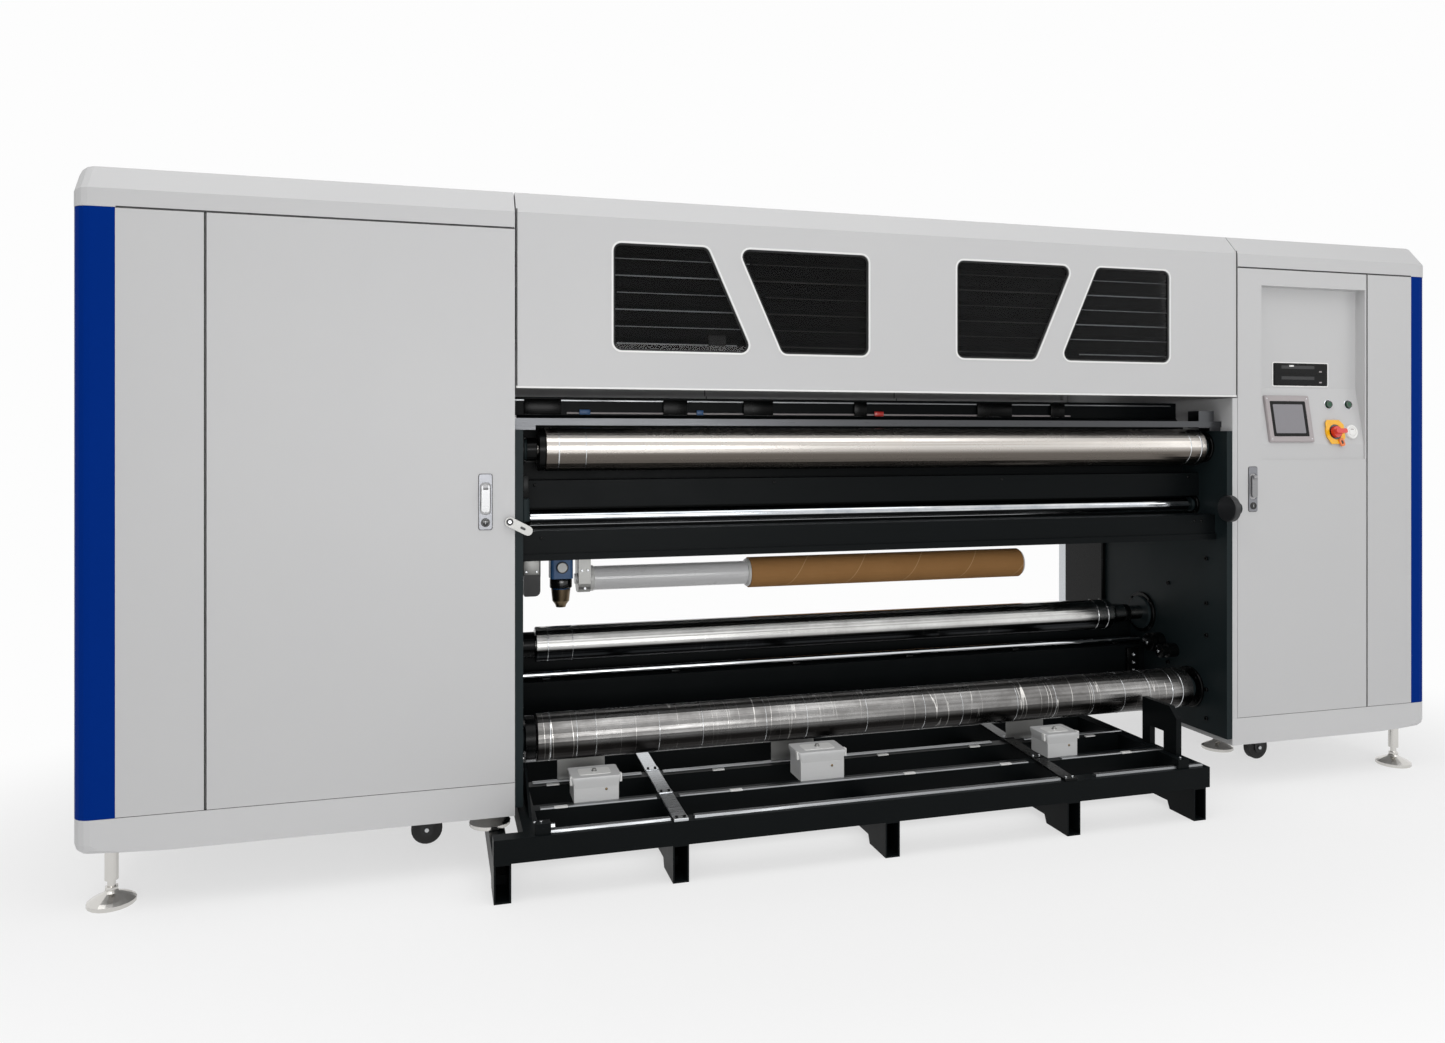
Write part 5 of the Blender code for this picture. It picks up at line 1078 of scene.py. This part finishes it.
def add_regulator():
    """Black locking ring, bronze bowl guard and pressure gauge on the air unit."""
    low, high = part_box("filter_regulator")
    x, y = (low.x + high.x) / 2, (low.y + high.y) / 2
    head_bottom = high.z - 0.075
    turned("regulator_neck", facing_up(x, y, head_bottom - 0.031),
           [(0, 33.5), (3, 35), (26, 35), (30.5, 33), (30.5, 31.5), (0, 31.5)], GLOSS_PLASTIC, sides=32,
           ring=True)
    turned("bowl_guard", facing_up(x, y, low.z - 0.002),
           [(0, 15), (8, 17.5), (20, 26.5), (57.5, 30.5), (57.5, 28.2), (22, 24.5), (8, 15)], BRONZE,
           sides=24)
    gauge = facing_front(x, low.y, head_bottom + 0.036)
    turned("gauge_case", gauge, [(0.2, 18.5), (10, 18.5), (12, 17), (12, 15), (9, 14.8)], GLOSS_PLASTIC)
    slab("gauge_face", gauge, circle(14.7), 0.5, WHITE_PLASTIC, lift=9, edge=0.1)


# ================================================================ platform
STRAP_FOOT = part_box("left_strap")[0].z - 0.3 * MM     # height of the rails' upper face


def add_platform_details():
    """Bright guide strips on the rails between the straps, the straps' fittings, and the rails' tabs."""
    low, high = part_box("base_frame")
    front = low.y
    left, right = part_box("left_side_plate")[0].x + 0.062, high.x - 0.012
    straps = [corner.x for name in ("left_strap", "right_strap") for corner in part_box(name)]
    cuts = [left, straps[0] - 0.006, straps[1] + 0.006, straps[2] - 0.006, straps[3] + 0.006, right]
    for rail, (offset, tall) in enumerate(((0.014, 6), (0.173, 2.8), (0.372, 2.8), (0.566, 2.8))):
        for part, (start, stop) in enumerate(zip(cuts[::2], cuts[1::2])):
            sweep_x("rail_strip_%d_%d" % (rail, part), (front + offset, STRAP_FOOT),
                    [(0, 0), (17, 0), (15.5, tall), (1.5, tall)], start, stop, RAIL_STEEL)
    y = front + 0.020
    turned("front_rod_left", facing_right(left - 0.012, y, STRAP_FOOT + 0.014), [(0, 6.5), (30, 6.5)], ZINC,
           sides=20)
    socket_screws("clamp_screws", [facing_up(x, y, STRAP_FOOT + 0.026)
                                   for x in (left - 0.029, left - 0.014, right - 0.071)], 3.5, ZINC)
    add_strap_fittings("left_strap", ZINC, BLACK_SATIN)
    add_strap_fittings("right_strap", BLACK_SATIN, ZINC)
    add_saddle_details()
    tabs = bmesh.new()
    for x in (-0.86, -0.40, 0.10, 0.40, 0.80):
        for y in (0.177, 0.352):
            add_slab(tabs, facing_up(x, front + y, STRAP_FOOT), rounded_rectangle(34, 12, 2), 3.5)
    piece("rail_tabs", tabs, WHITE_PLASTIC)
    add_guide_plates(front)


def add_strap_fittings(name, material, screws):
    """Four joint plates along a strap, each with a pair of screws."""
    low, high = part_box(name)
    lean = (high.x - low.x - 0.036) / (high.y - low.y)
    spots, plates = [], bmesh.new()
    for k in range(4):
        y = low.y + 0.012 + k * (high.y - low.y - 0.024) / 3
        x = low.x + 0.018 + lean * (y - low.y)
        spots += [facing_up(x + dx, y, high.z + 1.6 * MM) for dx in (-0.010, 0.010)]
        add_slab(plates, facing_up(x, y, high.z), rounded_rectangle(38, 24, 3), 1.6)
    piece(name + "_joints", plates, material)
    socket_screws(name + "_screws", spots, 3.6, screws)


def add_saddle_details():
    """Flared rim, pad, clamp screw, end ears and a bronze screw on each saddle block."""
    for k in (1, 2, 3):
        low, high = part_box("saddle_block_%d" % k)
        body = "saddle_%d" % k
        width, depth = (high.x - low.x) / MM, (high.y - low.y) / MM
        x, y = (low.x + high.x) / 2, (low.y + high.y) / 2
        rim, top = bmesh.new(), facing_up(x, y, high.z)
        skin_loops(rim, [loop(rim, top, rounded_rectangle(width + grown, depth + grown * 0.5, 6), rise)
                         for grown, rise in ((0.6, -24), (6, -12), (12, -3), (13, 3), (11, 4.2))])
        piece("saddle_rim_%d" % k, rim, CASTING, body)
        slab("saddle_pad_%d" % k, moved(top, 0, 0, 4.2), rounded_rectangle(width * 0.72, depth * 0.6, 8),
             1.2, WHITE_PLASTIC, body)
        turned("saddle_knob_%d" % k, moved(top, 0, 0, 5.4), [(0, 7), (1.6, 7), (2, 5.2), (5.6, 5), (6.4, 4)],
               ALUMINIUM, body, 20)
        screw = facing_front(x + (high.x - low.x) * 0.22, low.y, (low.z + high.z) / 2)
        flat_screws("saddle_screw_%d" % k, [screw], 3.5, BRONZE, body)
        for side, edge_x in (("left", low.x - 0.0095), ("right", high.x + 0.0035)):
            block("saddle_ear_%s_%d" % (side, k), (edge_x, low.y + 0.004, high.z - 0.016),
                  (edge_x + 0.006, low.y + 0.018, high.z + 0.005), WHITE_PLASTIC, body)


def add_guide_plates(front):
    """Grey guide plates that stand behind the saddle blocks on the third rail."""
    for k in (1, 2, 3):
        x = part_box("saddle_block_%d" % k)[0].x + 0.045
        slab("guide_plate_%d" % k, facing_front(x, front + 0.388, STRAP_FOOT + 0.030),
             rounded_rectangle(130, 60, 6), 2, ALUMINIUM, lift=-1)


# ================================================================ feet and castors
def add_foot_details():
    """Lock nut under each foot's sleeve."""
    for name in (side + spot for side in SIDES for spot in ("_front_foot", "_rear_foot", "_inner_foot")):
        spot = middle(name)
        turned(name + "_nut", facing_up(spot.x, spot.y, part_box(name)[0].z + 0.0345),
               [(0, 14.5), (1, 15.5), (6.2, 15.5), (7.2, 14.5), (7.2, 9), (0, 9)], FOOT_STEEL, sides=6,
               ring=True)


def add_castor_details():
    """Axle nut on both sides of each wheel, and the swivel plate above the fork."""
    for name in (side + spot for side in SIDES for spot in ("_front_wheel", "_rear_wheel")):
        low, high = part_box(name)
        x, y, z = (low + high) / 2
        for face, place in (("front", facing_front(x, low.y - 0.0052, z)),
                            ("rear", facing_rear(x, high.y + 0.0052, z))):
            turned("%s_nut_%s" % (name, face), place, [(0, 6.5), (3, 6.5), (4, 5.8)], ZINC, sides=6)
        turned(name + "_swivel", facing_up(x, y, FORK_TOP - 0.0103),
               [(0, 26), (1.5, 28), (8.5, 28), (10.4, 26)], ZINC, sides=32)


# ================================================================ light, floor and camera
WORLD_LIGHT = 0.36
CAMERA_HEIGHT = 1.08
CAMERA_BACK = 2.62            # in front of the cabinets' front skin
CAMERA_SIDE = -1.176
CAMERA_TURN = 15.76           # degrees towards the right
CAMERA_LENS = 25.79
CAMERA_SHIFT = -0.0585


def add_world():
    """Even pale surroundings: white where it is seen or mirrored, softer as light."""
    world = bpy.data.worlds.new("studio")
    bpy.context.scene.world = world
    world.use_nodes = True
    tree = world.node_tree
    tree.nodes.clear()
    strength = remap(tree, bright_rays(tree), WORLD_LIGHT, 1.0)
    shade = add(tree, "Background", {"Color": linear("#FDFDFD"), "Strength": strength})
    add(tree, "OutputWorld", {"Surface": shade.outputs[0]})


def add_lamp(name, spot, target, size, power):
    lamp = bpy.data.lights.new(name, "AREA")
    lamp.shape = "RECTANGLE"
    lamp.size, lamp.size_y = size
    lamp.energy = power
    obj = bpy.data.objects.new(name, lamp)
    bpy.context.scene.collection.objects.link(obj)
    obj.location = spot
    obj.rotation_euler = (Vector(target) - Vector(spot)).to_track_quat("-Z", "Y").to_euler()


def add_floor():
    """Seamless pale paper that takes soft shadows near the machine and turns white away from it."""
    data = bmesh.new()
    bmesh.ops.create_grid(data, x_segments=2, y_segments=2, size=40.0)
    mesh = bpy.data.meshes.new("studio_floor")
    data.to_mesh(mesh)
    data.free()
    floor = bpy.data.objects.new("studio_floor", mesh)
    bpy.context.scene.collection.objects.link(floor)
    material, tree, shader, place = blank("studio_paper", {"Base Color": linear("#FBFBFB"), "Roughness": 0.9,
                                                           "Specular IOR Level": 0.0})
    across = add(tree, "VectorMath", {0: place, 1: (0.6, 1.0, 1.0)}, operation="MULTIPLY")
    away = add(tree, "VectorMath", {0: across.outputs[0]}, operation="LENGTH").outputs["Value"]
    pale = remap(tree, away, 0.62, 1.0, 1.05, 1.9, interpolation_type="SMOOTHSTEP")
    share = maths(tree, "MULTIPLY", pale, bright_rays(tree))
    glow = add(tree, "Emission", {"Color": linear("#FDFDFD"), "Strength": 1.0})
    both = add(tree, "MixShader", {0: share, 1: shader.outputs[0], 2: glow.outputs[0]})
    tree.links.new(both.outputs[0], tree.nodes["Material Output"].inputs["Surface"])
    mesh.materials.append(material)
    floor.location.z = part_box("left_front_foot")[0].z - 0.1 * MM


def add_camera():
    camera = bpy.data.cameras.new("view")
    camera.lens = CAMERA_LENS
    camera.sensor_width = 36.0
    camera.shift_y = CAMERA_SHIFT
    camera.clip_end = 200.0
    obj = bpy.data.objects.new("view", camera)
    bpy.context.scene.collection.objects.link(obj)
    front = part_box("left_door")[0].y
    obj.location = (CAMERA_SIDE, front - CAMERA_BACK, CAMERA_HEIGHT)
    obj.rotation_euler = (math.radians(90), 0, math.radians(-CAMERA_TURN))
    bpy.context.scene.camera = obj


def build():
    dress_frame()
    for side in SIDES:
        add_lock(side)
    add_console()
    add_hasp_details()
    add_roller_ends()
    add_housings()
    add_bearing_rings()
    add_side_plate_details()
    add_beam_details()
    add_print_bay()
    add_web_plates()
    add_cover_inside()
    add_seams()
    add_outer_panels()
    add_cabinet_insides()
    add_take_up_details()
    add_platform_details()
    add_foot_details()
    add_castor_details()
    add_world()
    add_floor()
    add_lamp("top_softbox", (-0.5, -1.5, 4.6), (0, 0.2, 0), (7.0, 4.0), 115)
    add_lamp("front_softbox", (-0.6, -6.0, 1.2), (0, 0, 0.8), (4.2, 1.3), 102)
    add_lamp("side_softbox", (5.0, -3.5, 2.4), (0.6, 0, 0.8), (2.5, 2.5), 20)
    add_camera()
    bpy.context.scene.view_settings.view_transform = "Standard"


build()
